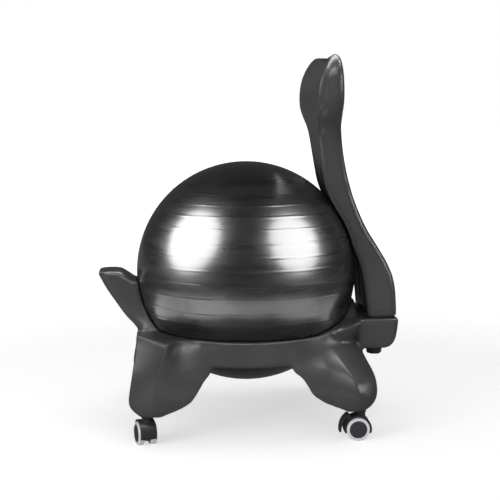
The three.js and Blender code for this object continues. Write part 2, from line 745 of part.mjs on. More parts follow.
function leverBody() {
  const steps = 10;
  const outline = [];
  for (let i = 0; i <= steps; i++) {
    outline.push(around(leverRadius, lerp(leverTopAngle, leverTipAngle, i / steps)));
  }
  for (let i = steps; i >= 0; i--) {
    const gap = lerp(leverTopGap, leverTipGap, i / steps);
    outline.push(around(hoodRadius + gap, lerp(leverTopAngle, leverTipAngle, i / steps)));
  }
  const pedal = toSolid(slab(outline, -leverWidth / 2, leverWidth / 2));
  return toGeometry(pedal.add(toSolid(pivotPin(pinRadius, leverWidth + 2 * cheekThickness))));
}

function stemBody() {
  const foot = hoodTop - stemFootLength + fitGap;
  const collar = hoodTop + fitGap;
  const shank = collar + stemCollarThickness;
  const profile = [
    [0, foot],
    [stemFootRadius, foot],
    [stemFootRadius, collar],
    [stemCollarRadius, collar],
    [stemCollarRadius, shank],
    [stemRadius, shank],
    [stemRadius, shank + stemLength - stemTaper],
    [stemRadius - stemTaper, shank + stemLength],
    [0, shank + stemLength],
  ];
  return turned(profile, 10).rotateX(Math.PI / 2);
}

function socketBody() {
  const inner = stemRadius + fitGap;
  const outer = inner + socketWall;
  const flangeTop = legFloor - fitGap;
  const profile = [
    [inner, flangeTop - flangeThickness],
    [flangeRadius, flangeTop - flangeThickness],
    [flangeRadius, flangeTop],
    [outer, flangeTop],
    [outer, legFloor + socketLength],
    [inner, legFloor + socketLength],
  ];
  return turned(profile, 10).rotateX(Math.PI / 2);
}

function axleBody() {
  const geometry = new THREE.CylinderGeometry(axleRadius, axleRadius, axleLength, 10);
  return geometry.translate(axleX, 0, wheelRadius);
}

// Wheel hub and tread; side is -1 or 1 along the axle.
function hubBody(side) {
  const bore = axleRadius + fitGap;
  const boreEnd = axleLength / 2 + fitGap;
  const profile = [
    [bore, wheelInner],
    [hubRadius, wheelInner],
    [hubRadius, wheelOuter - hubDome],
    [hubRadius - 2 * hubDome, wheelOuter],
    [0, wheelOuter],
    [0, boreEnd],
    [bore, boreEnd],
  ].map(([radius, y]) => [radius, side * y]);
  return turned(profile, wheelFacets, Math.PI / wheelFacets).translate(axleX, 0, wheelRadius);
}

function treadBody(side) {
  const rim = wheelRadius * flatToCorner;
  const face = wheelOuter - treadSetback;
  const profile = [
    [hubRadius + fitGap, wheelInner + treadSetback],
    [rim - treadRound, wheelInner + treadSetback],
    [rim, wheelInner + treadSetback + treadRound],
    [rim, face - treadRound],
    [rim - treadRound, face],
    [hubRadius + fitGap, face],
  ].map(([radius, y]) => [radius, side * y]);
  return turned(profile, wheelFacets, Math.PI / wheelFacets).translate(axleX, 0, wheelRadius);
}

// Materials
const finish = (color, roughness, metalness = 0) => new THREE.MeshStandardMaterial({
  color, roughness, metalness, flatShading: true,
});
const charcoalPlastic = finish(0x4b4b48, 0.45);
const ballVinyl = finish(0x1b1b1d, 0.22);
const blackPlastic = finish(0x1a1a1c, 0.4);
const hubPlastic = finish(0x3c3c44, 0.5);
const greyTread = finish(0xb8b6bc, 0.6);
const zincSteel = finish(0xb0b4b6, 0.3, 1);
const brassInsert = finish(0xb59a5b, 0.35, 1);

const group = new THREE.Group();

function addPiece(parent, name, geometry, material) {
  const body = closedBody(geometry);
  body.computeVertexNormals();
  const mesh = new THREE.Mesh(body, material);
  mesh.name = name;
  parent.add(mesh);
}

addPiece(group, 'base_shell', baseShell(), charcoalPlastic);
addPiece(group, 'backrest', backrestBody(), charcoalPlastic);
addPiece(group, 'ball_shell', ballShell(), ballVinyl);
addPiece(group, 'ball_plug', ballPlug(), blackPlastic);

for (const [side, y] of Object.entries(knobPlaces)) {
  const stud = post(studRadius, studFoot, tenonBottom + studReach, knobX, y, 16);
  const washer = tube(studRadius + fitGap, washerRadius, washerTop - washerThickness, washerTop, knobX, y);
  const insert = tube(
    studRadius + fitGap, insertRadius, tenonBottom, tenonBottom + insertLength, knobX, y,
  );
  addPiece(group, `knob_${side}`, knobBody(y), blackPlastic);
  addPiece(group, `knob_stud_${side}`, stud, zincSteel);
  addPiece(group, `knob_washer_${side}`, washer, zincSteel);
  addPiece(group, `backrest_insert_${side}`, insert, brassInsert);
}

const casterPlaces = [
  { name: 'front_left', x: -frontStemX, y: -frontStemY, heading: frontHeadings.left, brake: false },
  { name: 'front_right', x: -frontStemX, y: frontStemY, heading: frontHeadings.right, brake: false },
  { name: 'rear_left', x: rearStemX, y: -rearStemY, heading: rearHeadings.left, brake: true },
  { name: 'rear_right', x: rearStemX, y: rearStemY, heading: rearHeadings.right, brake: true },
];

for (const { name, x, y, heading, brake } of casterPlaces) {
  const caster = new THREE.Group();
  caster.position.set(x, y, 0);
  caster.rotation.z = degrees(heading);
  group.add(caster);
  addPiece(caster, `${name}_socket`, socketBody(), blackPlastic);
  addPiece(caster, `${name}_stem`, stemBody(), zincSteel);
  addPiece(caster, `${name}_hood`, hoodBody(brake), blackPlastic);
  addPiece(caster, `${name}_axle`, axleBody(), zincSteel);
  for (const [wheel, side] of [['left', -1], ['right', 1]]) {
    addPiece(caster, `${name}_hub_${wheel}`, hubBody(side), hubPlastic);
    addPiece(caster, `${name}_tread_${wheel}`, treadBody(side), greyTread);
  }
  if (brake) {
    addPiece(caster, `${name}_brake_lever`, leverBody(), blackPlastic);
  }
}

export default group;
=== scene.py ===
import json
import math
import bmesh
import bpy
import numpy as np
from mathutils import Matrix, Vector


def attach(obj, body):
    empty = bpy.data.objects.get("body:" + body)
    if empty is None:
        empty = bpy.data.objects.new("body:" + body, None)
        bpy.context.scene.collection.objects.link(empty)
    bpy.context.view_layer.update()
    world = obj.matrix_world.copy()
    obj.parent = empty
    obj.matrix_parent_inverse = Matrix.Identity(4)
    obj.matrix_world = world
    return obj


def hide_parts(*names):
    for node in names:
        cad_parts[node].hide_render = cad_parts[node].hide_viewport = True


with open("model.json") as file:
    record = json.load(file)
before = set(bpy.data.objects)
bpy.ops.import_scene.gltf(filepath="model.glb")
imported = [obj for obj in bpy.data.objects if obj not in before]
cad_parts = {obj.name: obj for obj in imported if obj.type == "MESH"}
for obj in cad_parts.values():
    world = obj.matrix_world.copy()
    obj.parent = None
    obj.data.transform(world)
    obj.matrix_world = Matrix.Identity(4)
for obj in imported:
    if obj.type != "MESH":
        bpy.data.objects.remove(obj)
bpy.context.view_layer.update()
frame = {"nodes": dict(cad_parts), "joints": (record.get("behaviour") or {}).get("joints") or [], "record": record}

mm = 0.001
nodes = frame["nodes"]
print("Frame loaded:", len(nodes), "nodes")

# Camera at the photograph's angle, and the render's look
shot = {"focal": 84.43, "place": (-0.1771, -2.6572, 0.7325), "turn": 4.012, "pitch": 7.457}
cameraData = bpy.data.cameras.new("photoCamera")
cameraData.lens = shot["focal"]
cameraData.sensor_width = 36
camera = bpy.data.objects.new("photoCamera", cameraData)
camera.location = shot["place"]
camera.rotation_euler = (math.radians(90 - shot["pitch"]), 0, -math.radians(shot["turn"]))
bpy.context.scene.collection.objects.link(camera)
bpy.context.scene.camera = camera
bpy.context.scene.view_settings.view_transform = "Standard"


# Small helpers that every piece uses
def makeObject(name, verts, faces, material, smooth=True):
    mesh = bpy.data.meshes.new(name)
    mesh.from_pydata([tuple(v) for v in verts], [], [tuple(f) for f in faces])
    mesh.validate()
    obj = bpy.data.objects.new(name, mesh)
    bpy.context.scene.collection.objects.link(obj)
    mesh.materials.append(material)
    if smooth:
        mesh.shade_smooth()
    return obj


def tidyNormals(obj, weld=0.00002):
    work = bmesh.new()
    work.from_mesh(obj.data)
    bmesh.ops.remove_doubles(work, verts=work.verts, dist=weld)
    bmesh.ops.recalc_face_normals(work, faces=work.faces)
    work.to_mesh(obj.data)
    work.free()
    return obj


def bakeModifiers(obj):
    graph = bpy.context.evaluated_depsgraph_get()
    graph.update()
    baked = bpy.data.meshes.new_from_object(obj.evaluated_get(graph))
    old = obj.data
    obj.modifiers.clear()
    obj.data = baked
    bpy.data.meshes.remove(old)
    baked.name = obj.name
    return obj


def loftSkin(rings, closed=False):
    rings = np.asarray(rings, float)
    rows, count = rings.shape[:2]
    verts = rings.reshape(-1, 3)
    faces = []
    spans = rows if closed else rows - 1
    for i in range(spans):
        low, high = i * count, ((i + 1) % rows) * count
        for j in range(count):
            k = (j + 1) % count
            faces.append((low + j, low + k, high + k, high + j))
    if not closed:
        faces.append(tuple(range(count))[::-1])
        faces.append(tuple(range((rows - 1) * count, rows * count)))
    return verts, faces


def smoothTable(table, places):  # a curve through the rows that never swings past them
    table = np.asarray(table, float)
    if table[0, 0] > table[-1, 0]:
        table = table[::-1]
    xs, ys = table[:, 0], table[:, 1:]
    gaps = np.diff(xs)[:, None]
    slopes = np.diff(ys, axis=0) / gaps
    tangents = np.zeros_like(ys)
    product = slopes[:-1] * slopes[1:]
    safe = np.where(product > 0, product, 1)
    total = slopes[:-1] + slopes[1:]
    tangents[1:-1] = np.where(product > 0, 2 * safe / np.where(product > 0, total, 1), 0)
    tangents[0], tangents[-1] = slopes[0], slopes[-1]
    places = np.clip(np.asarray(places, float), xs[0], xs[-1])
    at = np.clip(np.searchsorted(xs, places, side="right") - 1, 0, len(xs) - 2)
    step = gaps[at]
    t = ((places - xs[at])[:, None]) / step
    a = 2 * t ** 3 - 3 * t ** 2 + 1
    b = t ** 3 - 2 * t ** 2 + t
    c = -2 * t ** 3 + 3 * t ** 2
    d = t ** 3 - t ** 2
    values = a * ys[at] + b * step * tangents[at] + c * ys[at + 1] + d * step * tangents[at + 1]
    return np.column_stack([places, values])


# Node helpers, and the shader groups, each built once
def newGroup(name, values):  # a shader group with one named input for each value
    tree = bpy.data.node_groups.new(name, "ShaderNodeTree")
    for label, value in values.items():
        kind = "NodeSocketColor" if isinstance(value, tuple) else "NodeSocketFloat"
        tree.interface.new_socket(name=label, in_out="INPUT", socket_type=kind).default_value = value
    for label, kind in (("Color", "Color"), ("Roughness", "Float"), ("Height", "Float")):
        tree.interface.new_socket(name=label, in_out="OUTPUT", socket_type="NodeSocket" + kind)
    return tree, tree.nodes.new("NodeGroupInput"), tree.nodes.new("NodeGroupOutput")


def link(tree, source, target):
    tree.links.new(source, target)


def feed(tree, value, socket):  # a socket takes a link or a fixed value
    if isinstance(value, bpy.types.NodeSocket):
        link(tree, value, socket)
    else:
        socket.default_value = value


def noiseNode(tree, vector, scale, detail, roughness=0.5):
    node = tree.nodes.new("ShaderNodeTexNoise")
    for label, value in (("Vector", vector), ("Scale", scale), ("Detail", detail), ("Roughness", roughness)):
        feed(tree, value, node.inputs[label])
    return node.outputs["Fac"]


def mathNode(tree, operation, *values):
    node = tree.nodes.new("ShaderNodeMath")
    node.operation = operation
    for value, socket in zip(values, node.inputs):
        feed(tree, value, socket)
    return node.outputs[0]


def rangeNode(tree, value, fromLow, fromHigh, toLow, toHigh):
    node = tree.nodes.new("ShaderNodeMapRange")
    for label, item in (("Value", value), ("From Min", fromLow), ("From Max", fromHigh),
                        ("To Min", toLow), ("To Max", toHigh)):
        feed(tree, item, node.inputs[label])
    return node.outputs["Result"]


def mixColour(tree, factor, first, second):
    node = tree.nodes.new("ShaderNodeMix")
    node.data_type = "RGBA"
    for item, socket in ((factor, node.inputs["Factor"]), (first, node.inputs[6]), (second, node.inputs[7])):
        feed(tree, item, socket)
    return node.outputs[2]


def vectorNode(tree, operation, first, second=None):
    node = tree.nodes.new("ShaderNodeVectorMath")
    node.operation = operation
    link(tree, first, node.inputs[0])
    if second is not None:
        link(tree, second, node.inputs["Scale" if operation == "SCALE" else 1])
    return node.outputs["Value" if operation == "LENGTH" else "Vector"]


def buildGrainGroup():  # fine moulded grain, slow mottling and light scuffs
    tree, source, sink = newGroup(
        "mouldedGrain",
        {"Base": (0.1, 0.1, 0.1, 1), "Scuffed": (0.2, 0.2, 0.2, 1), "Grain Scale": 900.0,
         "Mottle Scale": 14.0, "Scuff": 0.25, "Rough Low": 0.35, "Rough High": 0.5})
    place = tree.nodes.new("ShaderNodeTexCoord").outputs["Object"]
    grain = noiseNode(tree, place, source.outputs["Grain Scale"], 2.0, 0.6)
    mottle = noiseNode(tree, place, source.outputs["Mottle Scale"], 4.0, 0.55)
    rubbed = rangeNode(tree, noiseNode(tree, place, 46.0, 6.0, 0.7), 0.56, 0.74, 0.0, 1.0)
    scuff = mathNode(tree, "MULTIPLY", rubbed, source.outputs["Scuff"])
    tint = mixColour(tree, scuff, source.outputs["Base"], source.outputs["Scuffed"])
    shade = tree.nodes.new("ShaderNodeHueSaturation")
    link(tree, tint, shade.inputs["Color"])
    link(tree, rangeNode(tree, mottle, 0.3, 0.7, 0.93, 1.07), shade.inputs["Value"])
    rough = rangeNode(tree, mottle, 0.3, 0.7, source.outputs["Rough Low"], source.outputs["Rough High"])
    link(tree, shade.outputs["Color"], sink.inputs["Color"])
    link(tree, mathNode(tree, "MULTIPLY_ADD", scuff, 0.12, rough), sink.inputs["Roughness"])
    link(tree, mathNode(tree, "MULTIPLY_ADD", mottle, 0.5, grain), sink.inputs["Height"])
    return tree


def buildStretchGroup():  # the skin's flow lines, which run round the ball, and its soft dimples
    tree, source, sink = newGroup(
        "stretchedSkin",
        {"Base": (0.01, 0.01, 0.01, 1), "Streaks": 60.0, "Dimples": 22.0, "Rough Low": 0.2,
         "Rough High": 0.3})
    place = tree.nodes.new("ShaderNodeTexCoord").outputs["Object"]
    squeeze = tree.nodes.new("ShaderNodeMapping")
    squeeze.inputs["Scale"].default_value = (0.12, 0.12, 1.0)
    link(tree, place, squeeze.inputs["Vector"])
    streak = noiseNode(tree, squeeze.outputs["Vector"], source.outputs["Streaks"], 5.0, 0.6)
    dimple = noiseNode(tree, place, source.outputs["Dimples"], 3.0, 0.5)
    fine = noiseNode(tree, place, 650.0, 2.0, 0.5)
    shade = tree.nodes.new("ShaderNodeHueSaturation")
    link(tree, source.outputs["Base"], shade.inputs["Color"])
    link(tree, rangeNode(tree, streak, 0.3, 0.7, 0.75, 1.3), shade.inputs["Value"])
    link(tree, shade.outputs["Color"], sink.inputs["Color"])
    link(tree, rangeNode(tree, streak, 0.3, 0.7, source.outputs["Rough Low"], source.outputs["Rough High"]),
         sink.inputs["Roughness"])
    total = mathNode(tree, "MULTIPLY_ADD", streak, 0.55, dimple)
    link(tree, mathNode(tree, "MULTIPLY_ADD", fine, 0.05, total), sink.inputs["Height"])
    return tree


grainGroup = buildGrainGroup()
stretchGroup = buildStretchGroup()


# What the two node trees that make a mesh share
def placeNode(tree, mesh, label, value):
    node = tree.nodes.new("GeometryNodeSetPosition")
    link(tree, mesh, node.inputs["Geometry"])
    link(tree, value, node.inputs[label])
    return node.outputs[0]


def positionParts(tree):  # a point's place, and its X, Y and Z
    position = tree.nodes.new("GeometryNodeInputPosition").outputs[0]
    parts = tree.nodes.new("ShaderNodeSeparateXYZ")
    link(tree, position, parts.inputs[0])
    return position, *parts.outputs


def joinXYZ(tree, **values):
    node = tree.nodes.new("ShaderNodeCombineXYZ")
    for label, value in values.items():
        link(tree, value, node.inputs[label.upper()])
    return node.outputs[0]


def newShapeTree(name, values, extra=()):  # the inputs are the dictionary's values, then what extra names
    tree = bpy.data.node_groups.new(name, "GeometryNodeTree")
    tree.is_modifier = True
    tree.interface.new_socket(name="Geometry", in_out="INPUT", socket_type="NodeSocketGeometry")
    kinds = [(label, "Int" if isinstance(value, int) else "Float") for label, value in values.items()]
    identifiers = {}
    for label, kind in kinds + list(extra) + [("Material", "Material")]:
        socket = tree.interface.new_socket(name=label, in_out="INPUT", socket_type="NodeSocket" + kind)
        identifiers[label] = socket.identifier
    tree.interface.new_socket(name="Geometry", in_out="OUTPUT", socket_type="NodeSocketGeometry")
    return tree, identifiers, tree.nodes.new("NodeGroupInput")


def endShapeTree(tree, mesh, source):
    real = tree.nodes.new("GeometryNodeRealizeInstances")
    link(tree, mesh, real.inputs[0])
    finish = tree.nodes.new("GeometryNodeSetMaterial")
    link(tree, real.outputs[0], finish.inputs["Geometry"])
    link(tree, source.outputs["Material"], finish.inputs["Material"])
    link(tree, finish.outputs[0], tree.nodes.new("NodeGroupOutput").inputs[0])


def runShapeTree(name, tree, identifiers, values, material):  # the tree's mesh as an object
    obj = makeObject(name, [(0, 0, 0)], [], material)
    modifier = obj.modifiers.new("shape", "NODES")
    modifier.node_group = tree
    for label, value in values.items():
        modifier[identifiers[label]] = value
    modifier[identifiers["Material"]] = material
    return bakeModifiers(obj)


# Materials
def groupMaterial(name, group, values, bump, shader):
    material = bpy.data.materials.new(name)
    material.use_nodes = True
    tree = material.node_tree
    principled = tree.nodes["Principled BSDF"]
    for label, value in shader.items():
        principled.inputs[label].default_value = value
    effect = tree.nodes.new("ShaderNodeGroup")
    effect.node_tree = group
    for label, value in values.items():
        effect.inputs[label].default_value = value
    relief = tree.nodes.new("ShaderNodeBump")
    relief.inputs["Distance"].default_value = bump["distance"]
    relief.inputs["Strength"].default_value = bump["strength"]
    link(tree, effect.outputs["Height"], relief.inputs["Height"])
    link(tree, effect.outputs["Color"], principled.inputs["Base Color"])
    link(tree, effect.outputs["Roughness"], principled.inputs["Roughness"])
    link(tree, relief.outputs["Normal"], principled.inputs["Normal"])
    return material


charcoalPlastic = groupMaterial(
    "charcoalPlastic", grainGroup,
    {"Base": (0.058, 0.057, 0.056, 1), "Scuffed": (0.092, 0.092, 0.090, 1), "Grain Scale": 1100.0,
     "Mottle Scale": 11.0, "Scuff": 0.3, "Rough Low": 0.3, "Rough High": 0.38},
    {"distance": 0.00025, "strength": 0.35}, {"Specular IOR Level": 0.5})
hoodPlastic = groupMaterial(
    "hoodPlastic", grainGroup,
    {"Base": (0.026, 0.027, 0.030, 1), "Scuffed": (0.05, 0.05, 0.053, 1), "Grain Scale": 1500.0,
     "Mottle Scale": 40.0, "Scuff": 0.35, "Rough Low": 0.36, "Rough High": 0.48},
    {"distance": 0.0001, "strength": 0.35}, {})
hubPlastic = groupMaterial(
    "hubPlastic", grainGroup,
    {"Base": (0.040, 0.040, 0.050, 1), "Scuffed": (0.09, 0.09, 0.10, 1), "Grain Scale": 1500.0,
     "Mottle Scale": 60.0, "Scuff": 0.3, "Rough Low": 0.4, "Rough High": 0.52},
    {"distance": 0.0001, "strength": 0.3}, {})
greyTread = groupMaterial(
    "greyTread", grainGroup,
    {"Base": (0.68, 0.67, 0.70, 1), "Scuffed": (0.40, 0.39, 0.40, 1), "Grain Scale": 1300.0,
     "Mottle Scale": 50.0, "Scuff": 0.5, "Rough Low": 0.5, "Rough High": 0.66},
    {"distance": 0.00015, "strength": 0.4}, {})
zincSteel = groupMaterial(
    "zincSteel", grainGroup,
    {"Base": (0.48, 0.49, 0.50, 1), "Scuffed": (0.30, 0.30, 0.31, 1), "Grain Scale": 900.0,
     "Mottle Scale": 70.0, "Scuff": 0.5, "Rough Low": 0.22, "Rough High": 0.36},
    {"distance": 0.00005, "strength": 0.3}, {"Metallic": 1.0})
brassInsert = groupMaterial(
    "brassInsert", grainGroup,
    {"Base": (0.50, 0.34, 0.12, 1), "Scuffed": (0.32, 0.22, 0.09, 1), "Grain Scale": 900.0,
     "Mottle Scale": 70.0, "Scuff": 0.4, "Rough Low": 0.28, "Rough High": 0.4},
    {"distance": 0.00005, "strength": 0.3}, {"Metallic": 1.0})
ballSkin = groupMaterial(
    "ballSkin", stretchGroup,
    {"Base": (0.006, 0.006, 0.007, 1), "Streaks": 70.0, "Dimples": 16.0, "Rough Low": 0.24,
     "Rough High": 0.36},
    {"distance": 0.0008, "strength": 0.25},
    {"Specular IOR Level": 0.6, "Coat Weight": 1.0, "Coat Roughness": 0.2})
print("Materials ready")

# Ball sizes in mm, shared with the base and the backrest
ball = {"radius": 250, "centre": 338, "cupGap": 0.9, "ringGap": 0.7, "backrestGap": 2.2}


def cupReach(z, gap=ball["ringGap"]):  # the ball's reach at a height, with a gap round it
    return math.sqrt(max((ball["radius"] + gap) ** 2 - (z - ball["centre"]) ** 2, 0))


# Base: ring, legs, tongue and socket block, drawn in mm and melted into one moulding
base = {
    "voxel": 3.0 * mm, "smoothRounds": 4, "smoothFactor": 0.5, "fillRounds": 150, "fillEverywhere": 0.12,
    "fillAcross": (120 * mm, 165 * mm), "fillAlong": (-205 * mm, -145 * mm),
    "rimHeight": 215, "rimWidth": 11.4,
    "collarRise": 55, "collarThickness": 19, "cupDepth": 49, "cupInset": 6, "skirtDepth": 55, "skirtFlare": 6,
    "rearFlare": 50, "frontFlare": 20, "legFloor": 62, "frontReach": (264, 267), "rearReach": (275, 250),
    "tongueRise": 129, "tongueSink": 15, "tongueReach": 335.3, "tongueFootReach": 13, "tongueHalfWidth": 45,
    "tongueSpread": 52, "tongueChamfer": 24, "chamferShare": 0.4, "tongueRound": 20,
    "blockRise": 25.5, "blockHeight": 68, "blockRear": 336, "blockDepth": 91, "blockHalfWidth": 112,
    "blockRound": 12, "edgeRound": 4, "ridgeLand": 2, "skirtRound": 6, "skirtStep": 9,
}
base["rimRadius"] = cupReach(base["rimHeight"]) + base["rimWidth"]
base["blockTop"] = base["rimHeight"] + base["blockRise"]

ringTable = [  # angle from the rear, ridge height, ridge land, deck height, rear flare, front flare
    [0, 1, 0.45, 1, 0.9, 0], [8, 0.93, 0.5, 1, 0.92, 0], [13, 0.8, 0.75, 1, 0.95, 0], [17, 0.63, 1, 1, 1, 0],
    [21, 0.45, 1, 0.97, 1, 0], [28, 0.31, 1, 0.63, 0.76, 0], [34, 0.22, 0.9, 0.33, 0.38, 0],
    [40, 0.13, 0.7, 0.2, 0.2, 0], [50, 0.02, 0.35, 0.02, 0.03, 0], [60, 0, 0.25, 0, 0, 0],
    [125, 0, 0.25, 0, 0, 0.04], [140, 0, 0.25, 0, 0, 0.3], [150, 0, 0.25, 0, 0, 0.7],
    [160, 0, 0.25, 0, 0, 1], [167, 0, 0.25, 0, 0, 1.08], [180, 0, 0.25, 0, 0, 1]]

frontLegTable = [
    [1, 0.925, 0.463, 0.874, 0.676, 0.05, 0.608, 0.746, 0.415, 0.709, 0.224, 0.226],
    [0.967, 0.943, 0.463, 0.892, 0.69, 0.05, 0.615, 0.761, 0.396, 0.731, 0.224, 0.226],
    [0.837, 0.947, 0.56, 0.914, 0.713, 0.1, 0.604, 0.806, 0.362, 0.784, 0.224, 0.226],
    [0.673, 0.958, 0.69, 0.944, 0.747, 0.2, 0.596, 0.881, 0.332, 0.825, 0.231, 0.219],
    [0.588, 0.966, 0.765, 0.963, 0.766, 0.25, 0.604, 0.918, 0.34, 0.843, 0.299, 0.208],
    [0.471, 0.977, 0.828, 0.981, 0.781, 0.3, 0.623, 0.955, 0.396, 0.896, 0.384, 0.196],
    [0.314, 0.992, 0.866, 0.996, 0.792, 0.35, 0.649, 0.981, 0.457, 0.94, 0.455, 0.181],
    [0.229, 1, 0.877, 1, 0.796, 0.4, 0.672, 0.989, 0.494, 0.955, 0.496, 0.166],
    [0.157, 0.996, 0.881, 0.996, 0.796, 0.5, 0.694, 0.985, 0.551, 0.959, 0.545, 0.158],
    [0.092, 0.974, 0.884, 0.981, 0.796, 0.6, 0.717, 0.97, 0.626, 0.955, 0.642, 0.143],
    [0.039, 0.94, 0.888, 0.959, 0.792, 0.7, 0.74, 0.951, 0.694, 0.94, 0.716, 0.136],
    [0, 0.913, 0.888, 0.94, 0.792, 0.8, 0.755, 0.933, 0.74, 0.925, 0.765, 0.128]]

rearLegTable = [
    [0.948, 0.815, 0.281, 0.68, 0.535, 0.1, 0.473, 0.736, 0.305, 0.848, 0.2, 0.2],
    [0.889, 0.858, 0.336, 0.689, 0.606, 0.1, 0.509, 0.76, 0.305, 0.864, 0.2, 0.2],
    [0.778, 0.898, 0.417, 0.732, 0.658, 0.1, 0.545, 0.803, 0.305, 0.874, 0.205, 0.2],
    [0.608, 0.942, 0.535, 0.835, 0.724, 0.15, 0.582, 0.885, 0.313, 0.925, 0.26, 0.196],
    [0.477, 0.978, 0.632, 0.905, 0.776, 0.2, 0.6, 0.933, 0.393, 0.954, 0.347, 0.19],
    [0.373, 0.996, 0.695, 0.95, 0.807, 0.25, 0.618, 0.965, 0.429, 0.973, 0.407, 0.18],
    [0.275, 1, 0.741, 0.982, 0.815, 0.3, 0.636, 0.982, 0.462, 0.978, 0.455, 0.17],
    [0.203, 0.996, 0.768, 0.991, 0.815, 0.4, 0.655, 0.987, 0.513, 0.978, 0.491, 0.16],
    [0.144, 0.985, 0.795, 0.991, 0.811, 0.5, 0.676, 0.982, 0.567, 0.973, 0.554, 0.15],
    [0.092, 0.964, 0.821, 0.978, 0.807, 0.6, 0.705, 0.969, 0.633, 0.964, 0.634, 0.135],
    [0.046, 0.935, 0.839, 0.955, 0.8, 0.7, 0.735, 0.951, 0.691, 0.946, 0.696, 0.12],
    [0, 0.898, 0.848, 0.938, 0.796, 0.8, 0.76, 0.933, 0.742, 0.929, 0.75, 0.11]]

tongueTable = [  # height, outer reach, spread of the width
    [0, -0.12, 1], [0.1, 0, 0.962], [0.185, 0.118, 0.788], [0.328, 0.345, 0.538], [0.521, 0.578, 0.308],
    [0.735, 0.812, 0.154], [0.895, 0.955, 0.058], [0.955, 1, 0], [0.987, 0.98, -0.077], [1, 0.9, -0.21]]

blockTable = [  # height, rear reach, width
    [0, 0.67, 0.911], [0.031, 0.747, 0.964], [0.1, 0.824, 0.991], [0.21, 0.89, 1], [0.395, 0.945, 1],
    [0.566, 0.967, 1], [0.876, 0.993, 1], [0.96, 1, 1], [1, 0.967, 0.973]]


def ringSkin(sections=288):
    angles = np.arange(sections) * 360 / sections
    rings = []
    for angle in angles:
        place = min(angle, 360 - angle)
        _, ridge, land, deck, rear, front = smoothTable(ringTable, [place])[0]
        top, bottom = base["rimHeight"], base["rimHeight"] - base["cupDepth"]
        skirtZ = top - base["skirtDepth"]
        ridgeZ = top + ridge * base["collarRise"]
        ridgeR = cupReach(ridgeZ) + land * base["collarThickness"]
        edgeZ = top + deck * base["blockRise"]
        edgeR = base["rimRadius"] + rear * base["rearFlare"] + front * base["frontFlare"]
        skirtR = base["rimRadius"] + base["skirtFlare"] * (1 - front)
        landZ = min(ridgeZ, edgeZ)
        bend = base["edgeRound"]
        profile = [
            (cupReach(bottom) - base["cupInset"], bottom), (cupReach(ridgeZ) - base["cupInset"], ridgeZ),
            (ridgeR - base["ridgeLand"], ridgeZ), (ridgeR, max(ridgeZ - bend, landZ)), (ridgeR + bend, landZ),
            (edgeR - bend, edgeZ), (edgeR, edgeZ - bend), (skirtR, skirtZ + base["skirtRound"]),
            (skirtR - base["skirtRound"], skirtZ), (cupReach(bottom) + base["skirtStep"], skirtZ)]
        turn = math.radians(angle)
        rings.append([(r * math.cos(turn), r * math.sin(turn), z) for r, z in profile])
    return loftSkin(rings, closed=True)


def legSkin(table, reach, signX, signY, levels=60, cornerSteps=12):
    table = sorted(table)
    rows = smoothTable(table, np.linspace(table[0][0], table[-1][0], levels))
    rings = []
    for height, end, endCorner, side, sideCorner, roundness, su, sv, au, av, endArch, wall in rows:
        outline = [(au * reach[0], av * reach[1]), (au * reach[0], av * reach[1] - wall * reach[0]),
                   ((end - wall) * reach[0], endArch * reach[1]), (end * reach[0], endArch * reach[1])]
        for i in range(cornerSteps + 1):
            way = i / cornerSteps
            turn = way * math.pi / 2
            roundU = sideCorner + (end - sideCorner) * math.cos(turn)
            roundV = endCorner + (side - endCorner) * math.sin(turn)
            straightU = end + (sideCorner - end) * way
            straightV = endCorner + (side - endCorner) * way
            outline.append(((straightU + (roundU - straightU) * roundness) * reach[0],
                            (straightV + (roundV - straightV) * roundness) * reach[1]))
        outline.append((su * reach[0], sv * reach[1]))
        z = base["legFloor"] + height * (base["rimHeight"] - base["legFloor"])
        rings.append([(signX * u, signY * v, z) for u, v in outline])
    return loftSkin(rings)


def roundedRing(x0, x1, halfWidth, radius, z, steps=8):
    corner = min(radius, (x1 - x0) / 2, halfWidth)
    ring = []
    for cx, cy, quarter in ((x1 - corner, halfWidth - corner, 0), (x0 + corner, halfWidth - corner, 1),
                            (x0 + corner, corner - halfWidth, 2), (x1 - corner, corner - halfWidth, 3)):
        for i in range(steps + 1):
            turn = (quarter + i / steps) * math.pi / 2
            ring.append((cx + corner * math.cos(turn), cy + corner * math.sin(turn), z))
    return ring


def tongueSkin(levels=70):
    rings = []
    low = base["rimHeight"] - base["tongueSink"]
    high = base["rimHeight"] + base["tongueRise"]
    foot = high - base["tongueChamfer"]
    run = base["chamferShare"] * (base["tongueReach"] - cupReach(foot))
    near = base["rimRadius"] + base["tongueFootReach"]
    for height, reach, spread in smoothTable(tongueTable, np.linspace(0, 1, levels)):
        z = low + height * (high - low)
        outer = near + reach * (base["tongueReach"] - near)
        halfWidth = base["tongueHalfWidth"] + spread * base["tongueSpread"]
        inner = math.sqrt(cupReach(min(z, foot)) ** 2 - halfWidth ** 2) - base["cupInset"]
        if z > foot:
            inner = cupReach(foot) + (z - foot) / base["tongueChamfer"] * run
        rings.append(roundedRing(-outer, -inner, halfWidth, base["tongueRound"], z))
    return loftSkin(rings)


def blockSkin(levels=50):
    rings = []
    front = base["blockRear"] - base["blockDepth"]
    low = base["blockTop"] - base["blockHeight"]
    for height, rear, width in smoothTable(blockTable, np.linspace(0, 1, levels)):
        rings.append(roundedRing(front, front + rear * base["blockDepth"], width * base["blockHalfWidth"],
                                 base["blockRound"], low + height * base["blockHeight"]))
    return loftSkin(rings)


def meshPoints(mesh):
    co = np.empty(len(mesh.vertices) * 3, np.float32)
    mesh.vertices.foreach_get("co", co)
    return co.reshape(-1, 3)


def smoothStep(values, low, high):
    share = np.clip((values - low) / (high - low), 0, 1)
    return share * share * (3 - 2 * share)


